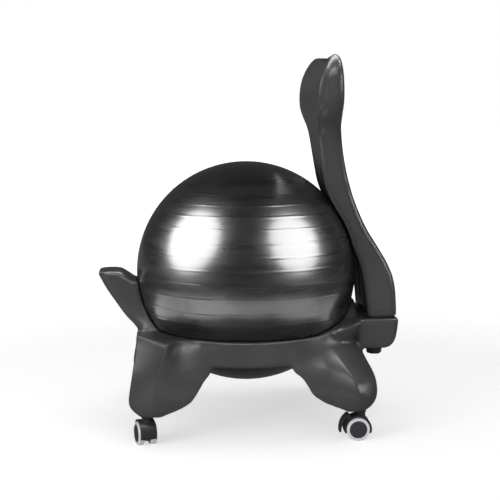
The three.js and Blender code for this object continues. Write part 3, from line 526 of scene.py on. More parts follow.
def fillCreases(mesh):  # inner corners fill up as a blown wall does, and outer edges keep their shape
    count = len(mesh.vertices)
    co = meshPoints(mesh).astype(float)
    edges = np.empty(len(mesh.edges) * 2, np.int32)
    mesh.edges.foreach_get("vertices", edges)
    a, b = edges.reshape(-1, 2).T
    corners = np.empty(len(mesh.loops), np.int32)
    mesh.loops.foreach_get("vertex_index", corners)
    quads = corners.reshape(-1, 4)
    degree = (np.bincount(a, minlength=count) + np.bincount(b, minlength=count))[:, None]
    across = smoothStep(np.abs(co[:, 1]), *base["fillAcross"])
    along = smoothStep(-np.abs(co[:, 0]), *base["fillAlong"])
    share = (base["fillEverywhere"] + (1 - base["fillEverywhere"]) * (across * along))[:, None]
    for _ in range(base["fillRounds"]):
        sums = [np.bincount(a, co[b, k], count) + np.bincount(b, co[a, k], count) for k in range(3)]
        pull = np.column_stack(sums) / degree - co
        facing = np.cross(co[quads[:, 2]] - co[quads[:, 0]], co[quads[:, 3]] - co[quads[:, 1]])
        normal = np.zeros_like(co)
        for k in range(3):
            for corner in quads.T:
                normal[:, k] += np.bincount(corner, facing[:, k], count)
        normal /= np.linalg.norm(normal, axis=1)[:, None] + 1e-12
        outward = np.maximum((pull * normal).sum(1), 0)[:, None]
        co += outward * normal * share
    mesh.vertices.foreach_set("co", co.astype(np.float32).ravel())


def buildBase():
    skins = [ringSkin(), tongueSkin(), blockSkin()]
    for sign in (-1, 1):
        skins.append(legSkin(frontLegTable, base["frontReach"], -1, sign))
        skins.append(legSkin(rearLegTable, base["rearReach"], 1, sign))
    verts, faces = [], []
    for skinVerts, skinFaces in skins:
        start = len(verts)
        verts += [tuple(np.asarray(v) * mm) for v in skinVerts]
        faces += [tuple(start + i for i in face) for face in skinFaces]
    obj = makeObject("baseBody", verts, faces, charcoalPlastic)
    work = bmesh.new()
    work.from_mesh(obj.data)
    bmesh.ops.triangulate(work, faces=[f for f in work.faces if len(f.verts) > 4])
    bmesh.ops.recalc_face_normals(work, faces=work.faces)
    work.to_mesh(obj.data)
    work.free()
    remesh = obj.modifiers.new("melt", "REMESH")
    remesh.mode = "VOXEL"
    remesh.voxel_size = base["voxel"]
    soften = obj.modifiers.new("soften", "SMOOTH")
    soften.factor = base["smoothFactor"]
    soften.iterations = base["smoothRounds"]
    bakeModifiers(obj)
    fillCreases(obj.data)
    co = meshPoints(obj.data)
    centre = np.array([0, 0, ball["centre"] * mm])
    away = co - centre
    distance = np.linalg.norm(away, axis=1)
    wanted = (ball["radius"] + ball["cupGap"]) * mm
    inside = distance < wanted
    co[inside] = centre + away[inside] / distance[inside, None] * wanted
    obj.data.vertices.foreach_set("co", co.ravel())
    obj.data.shade_smooth()
    obj.data.materials.clear()
    obj.data.materials.append(charcoalPlastic)
    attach(obj, "base")
    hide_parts("base_shell")
    print("Base ready:", len(co), "points")


buildBase()

# Backrest: foot, fluted stem and wings, drawn in mm
backrest = {"top": 822, "plinth": 4.5, "plinthInset": 5, "fluteDepth": 3.2, "flutes": 5, "dip": 12,
            "dipHalfWidth": 130, "dipFrom": 650, "levels": 230, "crown": 0.96, "crownLevels": 30,
            "frontSteps": 120, "rearSteps": 40, "cornerSteps": 10, "peak": 0.2}
plinthSteps = [(0.03, 1), (0.6, 1), (0.8, 0.64), (0.93, 0.24)]  # share of the height, share of the inset

backrestTable = [  # height, front edge, rear edge, half width, wrap, bow, flutes, front corner, rear corner
    [245, 268.5, 334.4, 97, 6, 1.2, 0, 10, 20], [256, 267.5, 334.4, 97, 6.5, 1.2, 0.6, 10, 20],
    [270, 266, 334.3, 95, 7, 1.2, 1, 11, 21], [292, 263.4, 333.6, 92, 8, 1.4, 1, 12, 22],
    [312, 260.8, 331.4, 89, 9, 1.5, 1, 12, 22], [332, 257.5, 327, 86, 10, 1.5, 1, 12, 22],
    [350, 253.4, 319.8, 84, 11, 1.5, 1, 12, 22], [368, 247.6, 311, 82, 12.5, 1.5, 1, 12, 21],
    [386, 240.6, 300.2, 81, 13.5, 1.5, 1, 12, 21], [405, 233.3, 288.6, 80, 14, 1.5, 1, 12, 21],
    [423, 226.8, 277, 79, 14, 1.5, 1, 12, 21], [441, 219.6, 266.7, 78, 14, 1.5, 1, 12, 21],
    [460, 209.9, 257.2, 78, 14, 1.5, 1, 12, 21], [480, 197.9, 248.6, 77, 14, 1.5, 1, 12, 21],
    [500, 186.6, 240.6, 77, 13.5, 1.5, 1, 12, 21], [520, 177.2, 233.5, 78, 13, 1.5, 1, 12, 21],
    [540, 170.6, 227.5, 80, 12.5, 1.5, 1, 12, 21], [562, 166.2, 221.6, 82, 12, 1.5, 1, 12, 21],
    [585, 162.4, 216.4, 85, 11.5, 1.8, 0, 12, 21], [608, 158.9, 212, 89, 11, 2.2, 0, 12, 21],
    [632, 155.4, 208.2, 95, 10.5, 3, 0, 12, 21], [648, 152.9, 205.8, 103, 10.5, 5, 0, 14, 22],
    [660, 150.6, 203.6, 114, 11, 7, 0, 16, 23], [670, 148.3, 201.6, 128, 12, 9, 0, 18, 24],
    [682, 145.3, 199.2, 150, 13, 11.5, 0, 21, 25], [696, 142.4, 197.3, 175, 14, 14, 0, 24, 26],
    [710, 141, 196.8, 193, 14, 14, 0, 26, 26], [726, 140.9, 196.9, 202, 14, 14, 0, 27, 26],
    [748, 142.3, 196.6, 205, 14, 14, 0, 27, 26], [770, 146.5, 195.6, 203, 14, 14, 0, 25, 24],
    [788, 153, 194.2, 196, 14, 14, 0, 20, 20], [801, 159.4, 192.6, 187, 13, 13, 0, 16, 17],
    [811, 165.6, 190.6, 176, 12, 12, 0, 12, 13], [818, 171.4, 187.6, 163, 10, 10, 0, 8, 8],
    [821, 175, 184.4, 154, 9, 9, 0, 4.5, 4.5], [822, 177.5, 182, 147, 9, 9, 0, 2.2, 2.2]]


def backrestRing(row, z, inset):
    height, front, rear, halfWidth, wrap, bow, flute, frontCorner, rearCorner = row
    front, rear, halfWidth = front + inset, rear - inset, halfWidth - inset
    steps = backrest["cornerSteps"]

    def clearOfBall(y):
        reach = cupReach(z, ball["backrestGap"])
        return math.sqrt(reach ** 2 - y ** 2) if reach > abs(y) else 0

    ring = []
    flat = halfWidth - frontCorner
    for i in range(backrest["frontSteps"] + 1):
        way = i / backrest["frontSteps"]
        y = (2 * way - 1) * flat
        scoop = flute * backrest["fluteDepth"] * abs(math.sin(math.pi * backrest["flutes"] * way))
        bend = wrap * (1 - (y / flat) ** 2)
        ring.append((max(front + bend, clearOfBall(y)) + scoop, y))

    def arc(cx, cy, rx, ry, first, last):
        for i in range(1, steps + 1):
            turn = math.radians(first + (last - first) * i / steps)
            yield cx + rx * math.cos(turn), cy + ry * math.sin(turn)

    backY = halfWidth - rearCorner
    edgeX = ring[-1][0]
    ring += list(arc(edgeX + frontCorner, flat, frontCorner, frontCorner, 180, 90))
    ring += list(arc(rear - rearCorner, backY, rearCorner, rearCorner, 90, 0))
    for i in range(1, backrest["rearSteps"]):
        y = (1 - 2 * i / backrest["rearSteps"]) * backY
        ring.append((rear + bow * (1 - (y / backY) ** 2), y))
    ring += [(rear, -backY)] + list(arc(rear - rearCorner, -backY, rearCorner, rearCorner, 0, -90))
    ring += [(edgeX + frontCorner, -halfWidth)]
    ring += list(arc(edgeX + frontCorner, -flat, frontCorner, frontCorner, -90, -180))[:-1]
    share = max((height - backrest["dipFrom"]) / (backrest["top"] - backrest["dipFrom"]), 0)
    half = backrest["dipHalfWidth"]
    return [(x, y, z - backrest["dip"] * share * max(1 - (y / half) ** 2, 0) ** 2) for x, y in ring]


def buildBackrest():
    seat = base["blockTop"]
    low, top = backrestTable[0][0], backrest["top"]
    crown = backrest["crown"]
    slowing = (1 - np.linspace(0, 1, backrest["crownLevels"])[1:]) ** 2
    ways = np.concatenate([np.linspace(0, crown, backrest["levels"]), 1 - (1 - crown) * slowing])
    inset = backrest["plinthInset"]
    rings = []
    for rise, share in plinthSteps:
        rings.append(backrestRing(backrestTable[0], seat + rise * backrest["plinth"], share * inset))
    for row in smoothTable(backrestTable, low + ways * (top - low)):
        rings.append(backrestRing(row, row[0], 0))
    centre = np.mean(rings[-1], axis=0)
    verts, faces = loftSkin(np.asarray(rings))
    verts = list(map(tuple, verts)) + [tuple(centre + np.array([0, 0, backrest["peak"]]))]
    count = len(rings[0])
    lastStart = (len(rings) - 1) * count
    faces = faces[:-1] + [(lastStart + j, lastStart + (j + 1) % count, len(verts) - 1) for j in range(count)]
    obj = makeObject("backrestBody", [tuple(np.asarray(v) * mm) for v in verts], faces, charcoalPlastic)
    tidyNormals(obj)
    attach(obj, "base")
    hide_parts("backrest")
    print("Backrest ready:", len(verts), "points")


buildBackrest()

# Ball: rings of thin ribs on a stretched skin, made by a node tree
ribs = {"Radius": ball["radius"] * mm, "Centre Height": ball["centre"] * mm, "Rib Step": 6.9,
        "Rib Limit": 58.0, "Rib Height": 0.9 * mm, "Rib Half Width": 0.36, "Ripple": 0.9, "Around": 256,
        "Bands": 384}


def buildBallTree():  # the ribs' steps, widths and ripple are degrees of latitude
    tree, identifiers, source = newShapeTree("ribbedBall", ribs)
    given = source.outputs
    sphere = tree.nodes.new("GeometryNodeMeshUVSphere")
    for label, socket in (("Around", "Segments"), ("Bands", "Rings"), ("Radius", "Radius")):
        link(tree, given[label], sphere.inputs[socket])
    position, _, _, z = positionParts(tree)
    rise = mathNode(tree, "ARCSINE", mathNode(tree, "DIVIDE", z, given["Radius"]))
    latitude = mathNode(tree, "MULTIPLY", rise, 180 / math.pi)
    wander = mathNode(tree, "SUBTRACT", noiseNode(tree, position, 9.0, 1.0), 0.5)
    moved = mathNode(tree, "ADD", latitude, mathNode(tree, "MULTIPLY", wander, given["Ripple"]))
    nearest = mathNode(tree, "ROUND", mathNode(tree, "DIVIDE", moved, given["Rib Step"]))
    middle = mathNode(tree, "MULTIPLY", nearest, given["Rib Step"])
    gap = mathNode(tree, "ABSOLUTE", mathNode(tree, "SUBTRACT", moved, middle))
    slope = mathNode(tree, "DIVIDE", gap, given["Rib Half Width"])
    hump = mathNode(tree, "MAXIMUM", mathNode(tree, "SUBTRACT", 1.0, slope), 0.0)
    within = mathNode(tree, "LESS_THAN", mathNode(tree, "ABSOLUTE", latitude), given["Rib Limit"])
    height = mathNode(tree, "MULTIPLY", mathNode(tree, "MULTIPLY", hump, within), given["Rib Height"])
    fade = rangeNode(tree, noiseNode(tree, position, 6.5, 2.0), 0.4, 0.62, 0.15, 1.0)
    rib = mathNode(tree, "SUBTRACT", mathNode(tree, "MULTIPLY", height, fade), given["Rib Height"])
    push = vectorNode(tree, "SCALE", vectorNode(tree, "NORMALIZE", position), rib)
    offset = vectorNode(tree, "ADD", push, joinXYZ(tree, z=given["Centre Height"]))
    smooth = tree.nodes.new("GeometryNodeSetShadeSmooth")
    link(tree, placeNode(tree, sphere.outputs["Mesh"], "Offset", offset), smooth.inputs["Geometry"])
    endShapeTree(tree, smooth.outputs[0], source)
    return tree, identifiers


def buildBall():
    obj = runShapeTree("ballBody", *buildBallTree(), ribs, ballSkin)
    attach(obj, "ball")
    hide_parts("ball_shell")
    print("Ball ready:", len(obj.data.vertices), "points")


buildBall()

# Casters: the same four in a frame of their own, tail along -X, then turned and set under each leg, in mm
caster = {
    "axleX": -8, "axleZ": 25, "treadInner": 18.8, "treadOuter": 25, "treadNear": 7.3, "treadFar": 20.1,
    "treadRound": 2.4, "treadBevel": 0.6, "hubBore": 3.3, "hubNear": 6.9, "hubFar": 20.5, "hubOuter": 18.5,
    "hoodRadius": 29.5, "hoodFrom": -15, "hoodTo": 195, "hoodSteps": 56, "hoodHalf": 17, "webHalf": 6.5,
    "pocket": 26.6, "pocketEnd": 30, "bossRadius": 9.5, "bossLow": 40, "bossTop": 57, "bossBevel": 1,
    "stemHole": 4.3, "stemHoleFrom": 34, "stemHoleTo": 70, "footHalf": 9, "footZ": 9, "boreEnd": 17,
    "boreHalf": 20, "cheekAngle": 128, "cheekInner": 28.3, "cheekOuter": 39.5, "cheekNear": 9.3,
    "cheekFar": 12.3, "cheekHalf": 4.6, "cheekSteps": 12, "pinRadius": 34.5, "pinHole": 2.5,
    "pinHoleHalf": 14, "bevel": 0.6, "bevelFrom": 40,
}
lever = {"from": 122, "to": 192, "outer": 40.5, "gapFrom": 0.8, "gapTo": 6.3, "half": 9, "pin": 2.2,
         "pinHalf": 12, "ribFrom": 160, "ribTo": 187, "ribs": 6, "ribDepth": 0.7, "steps": 140,
         "tipShare": 0.05, "tipRound": 1.5, "bend": 1.2, "bendShare": 0.3}
sharpFrom = {"hood": 35, "turned": 38, "lever": 40}  # degrees past which an edge stays sharp
hubRim = [(0, 0.9), (0.3, 0.3), (0.9, 0), (2.4, 0), (2.8, 0.5), (3.6, 0.6), (4.2, 0.3)]  # inward, down
hubCap = [(8.4, 0.7), (7.4, 0.8), (7.0, 0.3), (6.3, 0.1), (3, 0)]  # distance from the axle, down
stemProfile = [(0, 34.3), (3.6, 34.3), (4, 34.7), (4, 57.3), (6.7, 57.3), (7, 57.6), (7, 59), (6.7, 59.3),
               (5.5, 59.3), (5.5, 98.1), (4.3, 99.3), (0, 99.3)]
socketProfile = [(5.8, 59.9), (10.4, 59.7), (11, 60.2), (11, 61.3), (10.5, 61.7), (8, 61.7), (8, 105.2),
                 (7.4, 106), (5.8, 106)]


def lathe(profile, steps=96):  # round the Z axis; a closed loop, or open with both ends on the axis
    profile = np.asarray(profile, float)
    turns = np.arange(steps) * 2 * math.pi / steps
    solid = profile[0, 0] == 0
    body = profile[1:-1] if solid else profile
    rings = [[(r * math.cos(a), r * math.sin(a), z) for a in turns] for r, z in body]
    verts, faces = loftSkin(rings, closed=not solid)
    verts = [tuple(v) for v in verts]
    if solid:
        faces = faces[:-2]
        for z, row in ((profile[0, 1], 0), (profile[-1, 1], len(body) - 1)):
            verts.append((0, 0, z))
            faces += [(row * steps + j, row * steps + (j + 1) % steps, len(verts) - 1) for j in range(steps)]
    return verts, faces


def rod(radius, low, high, steps=48):  # a solid cylinder on the Z axis
    return lathe([(0, low), (radius, low), (radius, high), (0, high)], steps)


def arcPoints(cx, cz, radius, first, last, steps=6):
    turns = np.radians(np.linspace(first, last, steps + 1))
    return [(cx + radius * math.cos(a), cz + radius * math.sin(a)) for a in turns]


def alongAxle(shape, side):  # from the Z axis to the axle, with the profile's height outward along Y
    verts, faces = shape
    ax, az = caster["axleX"], caster["axleZ"]
    return [(x + ax, side * z, az + (y if side > 0 else -y)) for x, y, z in verts], faces


def prism(outline, y0, y1):
    return loftSkin([[(x, y0, z) for x, z in outline], [(x, y1, z) for x, z in outline]])


def casterPlace(name):
    swivel = next(j for j in frame["joints"] if j["name"] == name + "_swivel")
    spin = next(j for j in frame["joints"] if j["name"] == name + "_wheel_left_spin")
    return swivel["pos_m"][:2], math.atan2(-spin["axis"][0], spin["axis"][1])


def setUnder(shape, name):
    (x, y), turn = casterPlace(name)
    c, s = math.cos(turn), math.sin(turn)
    verts, faces = shape
    return [(x + (a * c - b * s) * mm, y + (a * s + b * c) * mm, z * mm) for a, b, z in verts], faces


def shapePiece(name, shape, material):
    return tidyNormals(makeObject(name, *shape, material), weld=0.000001)


def combine(obj, tools, operation):  # each tool's solid is added or cut away in turn
    for shape in tools:
        tool = shapePiece("tool", shape, hoodPlastic)
        step = obj.modifiers.new("combine", "BOOLEAN")
        step.operation = operation
        step.solver = "EXACT"
        step.object = tool
        bakeModifiers(obj)
        bpy.data.objects.remove(tool)


def sharpen(obj, angle):  # smooth faces, with sharp edges past the angle
    obj.data.shade_smooth()
    obj.data.set_sharp_from_angle(angle=math.radians(angle))


def roundEdges(obj):
    bevel = obj.modifiers.new("round", "BEVEL")
    bevel.width = caster["bevel"] * mm
    bevel.segments = 2
    bevel.limit_method = "ANGLE"
    bevel.angle_limit = math.radians(caster["bevelFrom"])
    bakeModifiers(obj)
    sharpen(obj, sharpFrom["hood"])


def treadProfile():
    near, far, outer, inner = (caster[k] for k in ("treadNear", "treadFar", "treadOuter", "treadInner"))
    bend, bevel = caster["treadRound"], caster["treadBevel"]
    profile = [(inner, near + bevel), (inner + bevel, near)]
    profile += arcPoints(outer - bend, near + bend, bend, -90, 0)
    profile += arcPoints(outer - bend, far - bend, bend, 0, 90)
    return profile + [(inner + bevel, far), (inner, far - bevel)]


def hubProfile():
    near, far, outer, bore = (caster[k] for k in ("hubNear", "hubFar", "hubOuter", "hubBore"))
    end = caster["boreEnd"]
    return [(0, end), (bore, end), (bore, near), (outer, near), *((outer - x, far - z) for x, z in hubRim),
            *((x, far - z) for x, z in hubCap), (0, far)]


def hoodParts(rear):
    ax, az = caster["axleX"], caster["axleZ"]
    rim = arcPoints(ax, az, caster["hoodRadius"], caster["hoodFrom"], caster["hoodTo"], caster["hoodSteps"])
    outline = rim + [(ax - caster["footHalf"], caster["footZ"]), (ax + caster["footHalf"], caster["footZ"])]
    body = prism(outline, -caster["hoodHalf"], caster["hoodHalf"])
    boss, low, top, bevel = (caster[k] for k in ("bossRadius", "bossLow", "bossTop", "bossBevel"))
    joins = [lathe([(0, low), (boss, low), (boss, top - bevel), (boss - bevel, top), (0, top)], steps=64)]
    pocket = rod(caster["pocket"], caster["webHalf"], caster["pocketEnd"], steps=96)
    cuts = [alongAxle(pocket, side) for side in (-1, 1)]
    cuts.append(alongAxle(rod(caster["hubBore"], -caster["boreHalf"], caster["boreHalf"]), 1))
    cuts.append(rod(caster["stemHole"], caster["stemHoleFrom"], caster["stemHoleTo"]))
    if rear:
        turn = math.radians(caster["cheekAngle"])
        out, across = np.array([math.cos(turn), math.sin(turn)]), np.array([-math.sin(turn), math.cos(turn)])
        centre = np.array([ax, az])
        half = caster["cheekHalf"]
        mid = caster["cheekOuter"] - half
        outline = [centre + out * caster["cheekInner"] - across * half, centre + out * mid - across * half]
        for i in range(1, caster["cheekSteps"]):
            a = math.pi * (i / caster["cheekSteps"] - 0.5)
            outline.append(centre + out * (mid + half * math.cos(a)) + across * half * math.sin(a))
        outline += [centre + out * mid + across * half, centre + out * caster["cheekInner"] + across * half]
        for side in (-1, 1):
            y0, y1 = sorted((side * caster["cheekNear"], side * caster["cheekFar"]))
            joins.append(prism(outline, y0, y1))
        pin = centre + out * caster["pinRadius"]
        hole = arcPoints(pin[0], pin[1], caster["pinHole"], 0, 360, steps=24)[:-1]
        cuts.append(prism(hole, -caster["pinHoleHalf"], caster["pinHoleHalf"]))
    return body, joins, cuts


def leverParts():
    ax, az = caster["axleX"], caster["axleZ"]
    rings = []
    for angle in np.linspace(lever["from"], lever["to"], lever["steps"]):
        way = (angle - lever["from"]) / (lever["to"] - lever["from"])
        inner = caster["hoodRadius"] + lever["gapFrom"] + (lever["gapTo"] - lever["gapFrom"]) * way
        tip = min(way / lever["tipShare"], (1 - way) / lever["tipShare"], 1)
        outer = lever["outer"] - lever["tipRound"] * (1 - math.sqrt(1 - (1 - tip) ** 2))
        if lever["ribFrom"] < angle < lever["ribTo"]:
            span = (angle - lever["ribFrom"]) / (lever["ribTo"] - lever["ribFrom"])
            outer -= lever["ribDepth"] * math.sin(math.pi * lever["ribs"] * span) ** 2
        a = math.radians(angle)
        half, bend = lever["half"], lever["bend"]
        cut = bend * lever["bendShare"]
        corners = [(inner, -half + bend), (inner + cut, -half + cut), (inner + bend, -half),
                   (outer - bend, -half), (outer - cut, -half + cut), (outer, -half + bend)]
        ring = corners + [(r, -y) for r, y in corners[::-1]]
        rings.append([(ax + r * math.cos(a), y, az + r * math.sin(a)) for r, y in ring])
    pinTurn = math.radians(caster["cheekAngle"])
    pin = (ax + caster["pinRadius"] * math.cos(pinTurn), az + caster["pinRadius"] * math.sin(pinTurn))
    outline = arcPoints(pin[0], pin[1], lever["pin"], 0, 360, steps=28)[:-1]
    return loftSkin(rings), prism(outline, -lever["pinHalf"], lever["pinHalf"])


def wearPiece(obj, body, node):
    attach(obj, body)
    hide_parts(node)


def turnedPiece(name, shape, material, body, node):
    piece = shapePiece(name, shape, material)
    sharpen(piece, sharpFrom["turned"])
    wearPiece(piece, body, node)


def buildCasters():
    tread, hub = lathe(treadProfile()), lathe(hubProfile())
    stem, socket = lathe(stemProfile, steps=48), lathe(socketProfile, steps=48)
    for name in ("front_left", "front_right", "rear_left", "rear_right"):
        rear = name.startswith("rear")
        body, joins, cuts = hoodParts(rear)
        hood = shapePiece(name + "_hoodBody", setUnder(body, name), hoodPlastic)
        combine(hood, [setUnder(shape, name) for shape in joins], "UNION")
        combine(hood, [setUnder(shape, name) for shape in cuts], "DIFFERENCE")
        roundEdges(tidyNormals(hood, weld=0.00001))
        wearPiece(hood, name + "_caster", name + "_hood")
        for side, sign in (("left", -1), ("right", 1)):
            wheel = name + "_wheel_" + side
            turnedPiece(name + "_treadBody_" + side, setUnder(alongAxle(tread, sign), name), greyTread,
                        wheel, name + "_tread_" + side)
            turnedPiece(name + "_hubBody_" + side, setUnder(alongAxle(hub, sign), name), hubPlastic,
                        wheel, name + "_hub_" + side)
        turnedPiece(name + "_stemBody", setUnder(stem, name), zincSteel,
                    name + "_caster", name + "_stem")
        turnedPiece(name + "_socketBody", setUnder(socket, name), hoodPlastic,
                    "base", name + "_socket")
        if rear:
            arm, pin = leverParts()
            piece = shapePiece(name + "_brakeBody", setUnder(arm, name), hoodPlastic)
            combine(piece, [setUnder(pin, name)], "UNION")
            sharpen(piece, sharpFrom["lever"])
            wearPiece(piece, name + "_brake", name + "_brake_lever")
    print("Casters ready")


buildCasters()

# Knobs: a lobed grip under the socket block, made by a node tree
grip = {"Radius": 19 * mm, "Height": 18 * mm, "Top Height": 170.3 * mm, "Taper": 0.12, "Lobes": 6.0,
        "Lobe Depth": 0.09, "Edge Round": 0.1, "Edge Power": 12.0, "Around": 144, "Levels": 24, "Fill": 8}
knob = {"x": 289, "spacing": 110, "bore": 4.3, "boreFrom": 157, "boreTo": 175}


def buildKnobTree():
    tree, identifiers, source = newShapeTree("lobedKnob", grip, [("Place", "Vector")])
    given = source.outputs
    body = tree.nodes.new("GeometryNodeMeshCylinder")
    for label, socket in (("Around", "Vertices"), ("Levels", "Side Segments"), ("Fill", "Fill Segments"),
                          ("Radius", "Radius"), ("Height", "Depth")):
        link(tree, given[label], body.inputs[socket])
    _, x, y, z = positionParts(tree)
    turn = mathNode(tree, "ARCTAN2", y, x)
    wave = mathNode(tree, "COSINE", mathNode(tree, "MULTIPLY", turn, given["Lobes"]))
    depth = mathNode(tree, "MULTIPLY", given["Lobe Depth"], 0.5)
    hollow = mathNode(tree, "MULTIPLY", mathNode(tree, "SUBTRACT", 1.0, wave), depth)
    level = mathNode(tree, "DIVIDE", mathNode(tree, "MULTIPLY", z, 2.0), given["Height"])
    lean = mathNode(tree, "MULTIPLY", given["Taper"], 0.5)
    slope = mathNode(tree, "MULTIPLY", mathNode(tree, "SUBTRACT", 1.0, level), lean)
    bend = mathNode(tree, "POWER", mathNode(tree, "ABSOLUTE", level), given["Edge Power"])
    share = mathNode(tree, "SUBTRACT", mathNode(tree, "SUBTRACT", 1.0, hollow), slope)
    share = mathNode(tree, "SUBTRACT", share, mathNode(tree, "MULTIPLY", bend, given["Edge Round"]))
    drop = mathNode(tree, "SUBTRACT", given["Top Height"], mathNode(tree, "MULTIPLY", given["Height"], 0.5))
    shaped = joinXYZ(tree, x=mathNode(tree, "MULTIPLY", x, share), y=mathNode(tree, "MULTIPLY", y, share),
                     z=mathNode(tree, "ADD", z, drop))
    mould = placeNode(tree, body.outputs["Mesh"], "Position", shaped)
    endShapeTree(tree, placeNode(tree, mould, "Offset", given["Place"]), source)
    return tree, identifiers


def buildKnobs():
    tree, identifiers = buildKnobTree()
    for side, sign in (("left", -1), ("right", 1)):
        x, y = knob["x"], sign * knob["spacing"] / 2
        values = {**grip, "Place": (x * mm, y * mm, 0)}
        obj = runShapeTree("knobBody_" + side, tree, identifiers, values, hoodPlastic)
        verts, faces = rod(knob["bore"], knob["boreFrom"], knob["boreTo"])
        combine(obj, [([((a + x) * mm, (b + y) * mm, c * mm) for a, b, c in verts], faces)], "DIFFERENCE")
        sharpen(obj, sharpFrom["turned"])
        wearPiece(obj, "knob_" + side, "knob_" + side)
    print("Knobs ready")


buildKnobs()

# Finishes on the CAD nodes that stay
slotMaterials = {"charcoal_plastic": charcoalPlastic, "ball_vinyl": ballSkin, "black_plastic": hoodPlastic,
                 "hub_plastic": hubPlastic, "grey_tread": greyTread, "zinc_steel": zincSteel,
                 "brass_insert": brassInsert}
for part in frame["record"]["subparts"]:
    node = nodes[part["node"]]
    for item in node.material_slots:
        item.material = slotMaterials[part["material_slot"]]

# Studio: a white floor that keeps the shadow and a white surround, which mirrors see darker than the camera,
# soft boxes and floor cards that gloss either the ball or the mouldings, and soft lamps with no mirror image
studio = {"floorSize": 30.0, "floorNear": 0.9, "floorFar": 3.2, "nearGlow": 0.56, "farGlow": 1.0,
          "floorGloss": 0.12, "worldFill": 0.3, "worldGloss": 0.06, "floorWhite": (0.9, 0.9, 0.9, 1),
          "floorDark": (0.04, 0.04, 0.04, 1)}
ballBoxes = {  # direction from the ball, distance, width, height, radiance; flagged off the moulding
    "leftSoftbox": ((-0.88, -0.375, 0.54), 2.3, 2.4, 2.4, 13.0),
    "rightSoftbox": ((0.72, -0.55, 0.49), 2.3, 2.25, 2.25, 11.5),
}
frameBoxes = {  # the same values for the boxes that light the moulding's edges, flagged off the ball
    "overheadBox": ((-0.10, 0.36, 0.93), 2.4, 2.8, 1.0, 9.0),
    "frontTopBox": ((0.02, -0.48, 0.88), 2.6, 2.6, 0.3, 16.0),
    "sideBox": ((-0.68, 0.62, 0.36), 2.6, 1.2, 0.8, 2.0),
    "rightBox": ((0.94, -0.02, 0.30), 2.6, 0.5, 0.7, 11.0),
    "rightTopBox": ((0.62, 0.20, 0.75), 2.6, 0.5, 0.45, 20.0),
}
floorCards = {  # turn from the camera's side, reach, depth, radiance; set round the ball just above the floor
    "leftCard": (-82, 0.85, 0.6, 1.7), "nearLeftCard": (-42, 0.8, 0.55, 2.7),
    "frontCard": (0, 0.75, 0.42, 1.9), "nearRightCard": (44, 0.77, 0.5, 2.1),
    "rightCard": (86, 0.77, 0.5, 1.1),
}
floorCard = {"width": 0.68, "height": 0.004}
softLamps = {  # place, target, width, height, power
    "keyLamp": ((-2.0, -1.9, 0.6), (0, 0, 0.2), 1.6, 1.2, 38),
    "fillLamp": ((0.9, -2.7, 0.5), (0, 0, 0.25), 1.6, 0.8, 20),
    "topLamp": ((0.1, 0.3, 2.6), (0, 0, 0.3), 1.6, 1.2, 6),
}


def buildFloor():
    floor = makeObject("studioFloor", [(x * studio["floorSize"], y * studio["floorSize"], 0)
                                       for x, y in ((-1, -1), (1, -1), (1, 1), (-1, 1))], [(0, 1, 2, 3)],
                       bpy.data.materials.new("floorWhite"), smooth=False)
    material = floor.data.materials[0]
    material.use_nodes = True
    tree = material.node_tree
    principled = tree.nodes["Principled BSDF"]
    principled.inputs["Roughness"].default_value = 0.9
    principled.inputs["Specular IOR Level"].default_value = 0.0
    rays = tree.nodes.new("ShaderNodeLightPath")
    seen = mathNode(tree, "MAXIMUM", rays.outputs["Is Camera Ray"], rays.outputs["Is Transmission Ray"])
    seen = mathNode(tree, "MAXIMUM", seen, rays.outputs["Is Glossy Ray"])
    reach = vectorNode(tree, "LENGTH", tree.nodes.new("ShaderNodeTexCoord").outputs["Object"])
    glow = rangeNode(tree, reach, studio["floorNear"], studio["floorFar"],
                     studio["nearGlow"], studio["farGlow"])
    principled.inputs["Emission Color"].default_value = (1, 1, 1, 1)
    dark = rays.outputs["Is Glossy Ray"]
    tint = mixColour(tree, dark, studio["floorWhite"], studio["floorDark"])
    link(tree, tint, principled.inputs["Base Color"])
    glow = mathNode(tree, "MULTIPLY", glow, rangeNode(tree, dark, 0.0, 1.0, 1.0, studio["floorGloss"]))
    link(tree, mathNode(tree, "MULTIPLY", glow, seen), principled.inputs["Emission Strength"])


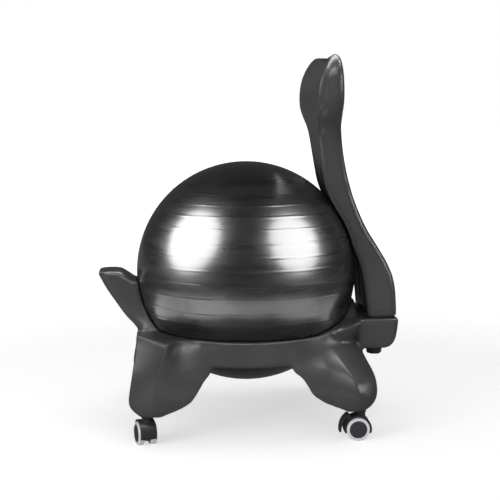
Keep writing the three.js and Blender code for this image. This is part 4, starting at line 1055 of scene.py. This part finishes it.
def buildWorld():
    world = bpy.data.worlds.new("studioWorld")
    bpy.context.scene.world = world
    world.use_nodes = True
    tree = world.node_tree
    background = tree.nodes["Background"]
    background.inputs["Color"].default_value = (1, 1, 1, 1)
    rays = tree.nodes.new("ShaderNodeLightPath")
    clear = mathNode(tree, "MAXIMUM", rays.outputs["Is Camera Ray"], rays.outputs["Is Transmission Ray"])
    dark = rays.outputs["Is Glossy Ray"]
    gloss = rangeNode(tree, dark, 0.0, 1.0, studio["worldFill"], studio["worldGloss"])
    link(tree, mathNode(tree, "MAXIMUM", clear, gloss), background.inputs["Strength"])


def areaLamp(name, place, target, width, height, power, shape="RECTANGLE"):
    data = bpy.data.lights.new(name, "AREA")
    data.shape = shape
    data.size = width
    data.size_y = height
    data.energy = power
    lamp = bpy.data.objects.new(name, data)
    lamp.location = place
    lamp.rotation_euler = (Vector(target) - Vector(place)).to_track_quat("-Z", "Y").to_euler()
    lamp.visible_camera = False
    bpy.context.scene.collection.objects.link(lamp)
    return lamp


def flagLamps(lamps, state):  # the lamps light only the ball, or everything else
    group = bpy.data.collections.new("ballFlag" + state.title())
    group.objects.link(bpy.data.objects["ballBody"])
    group.collection_objects[0].light_linking.link_state = state
    for lamp in lamps:
        lamp.visible_diffuse = False
        lamp.light_linking.receiver_collection = group


def buildBoxes(boxes, shape):
    centre = Vector((0, 0, ball["centre"] * mm))
    lamps = []
    for name, (direction, distance, width, height, radiance) in boxes.items():
        place = centre + Vector(direction).normalized() * distance
        power = radiance * math.pi * width * height * (math.pi / 4 if shape == "ELLIPSE" else 1)
        lamps.append(areaLamp(name, place, centre, width, height, power, shape))
    return lamps


def buildCards():
    width, height = floorCard["width"], floorCard["height"]
    lamps = []
    for name, (turn, reach, depth, radiance) in floorCards.items():
        a = math.radians(turn)
        place = (reach * math.sin(a), -reach * math.cos(a), height)
        power = radiance * math.pi * width * depth
        lamp = areaLamp(name, place, (place[0], place[1], 1), width, depth, power)
        lamp.rotation_euler = (math.pi, 0, a)
        lamps.append(lamp)
    return lamps


def buildLamps():
    flagLamps(buildBoxes(ballBoxes, "ELLIPSE") + buildCards(), "INCLUDE")
    flagLamps(buildBoxes(frameBoxes, "RECTANGLE"), "EXCLUDE")
    for name, values in softLamps.items():
        lamp = areaLamp(name, *values)
        lamp.visible_glossy = False


buildFloor()
buildWorld()
buildLamps()
print("Stage ready")
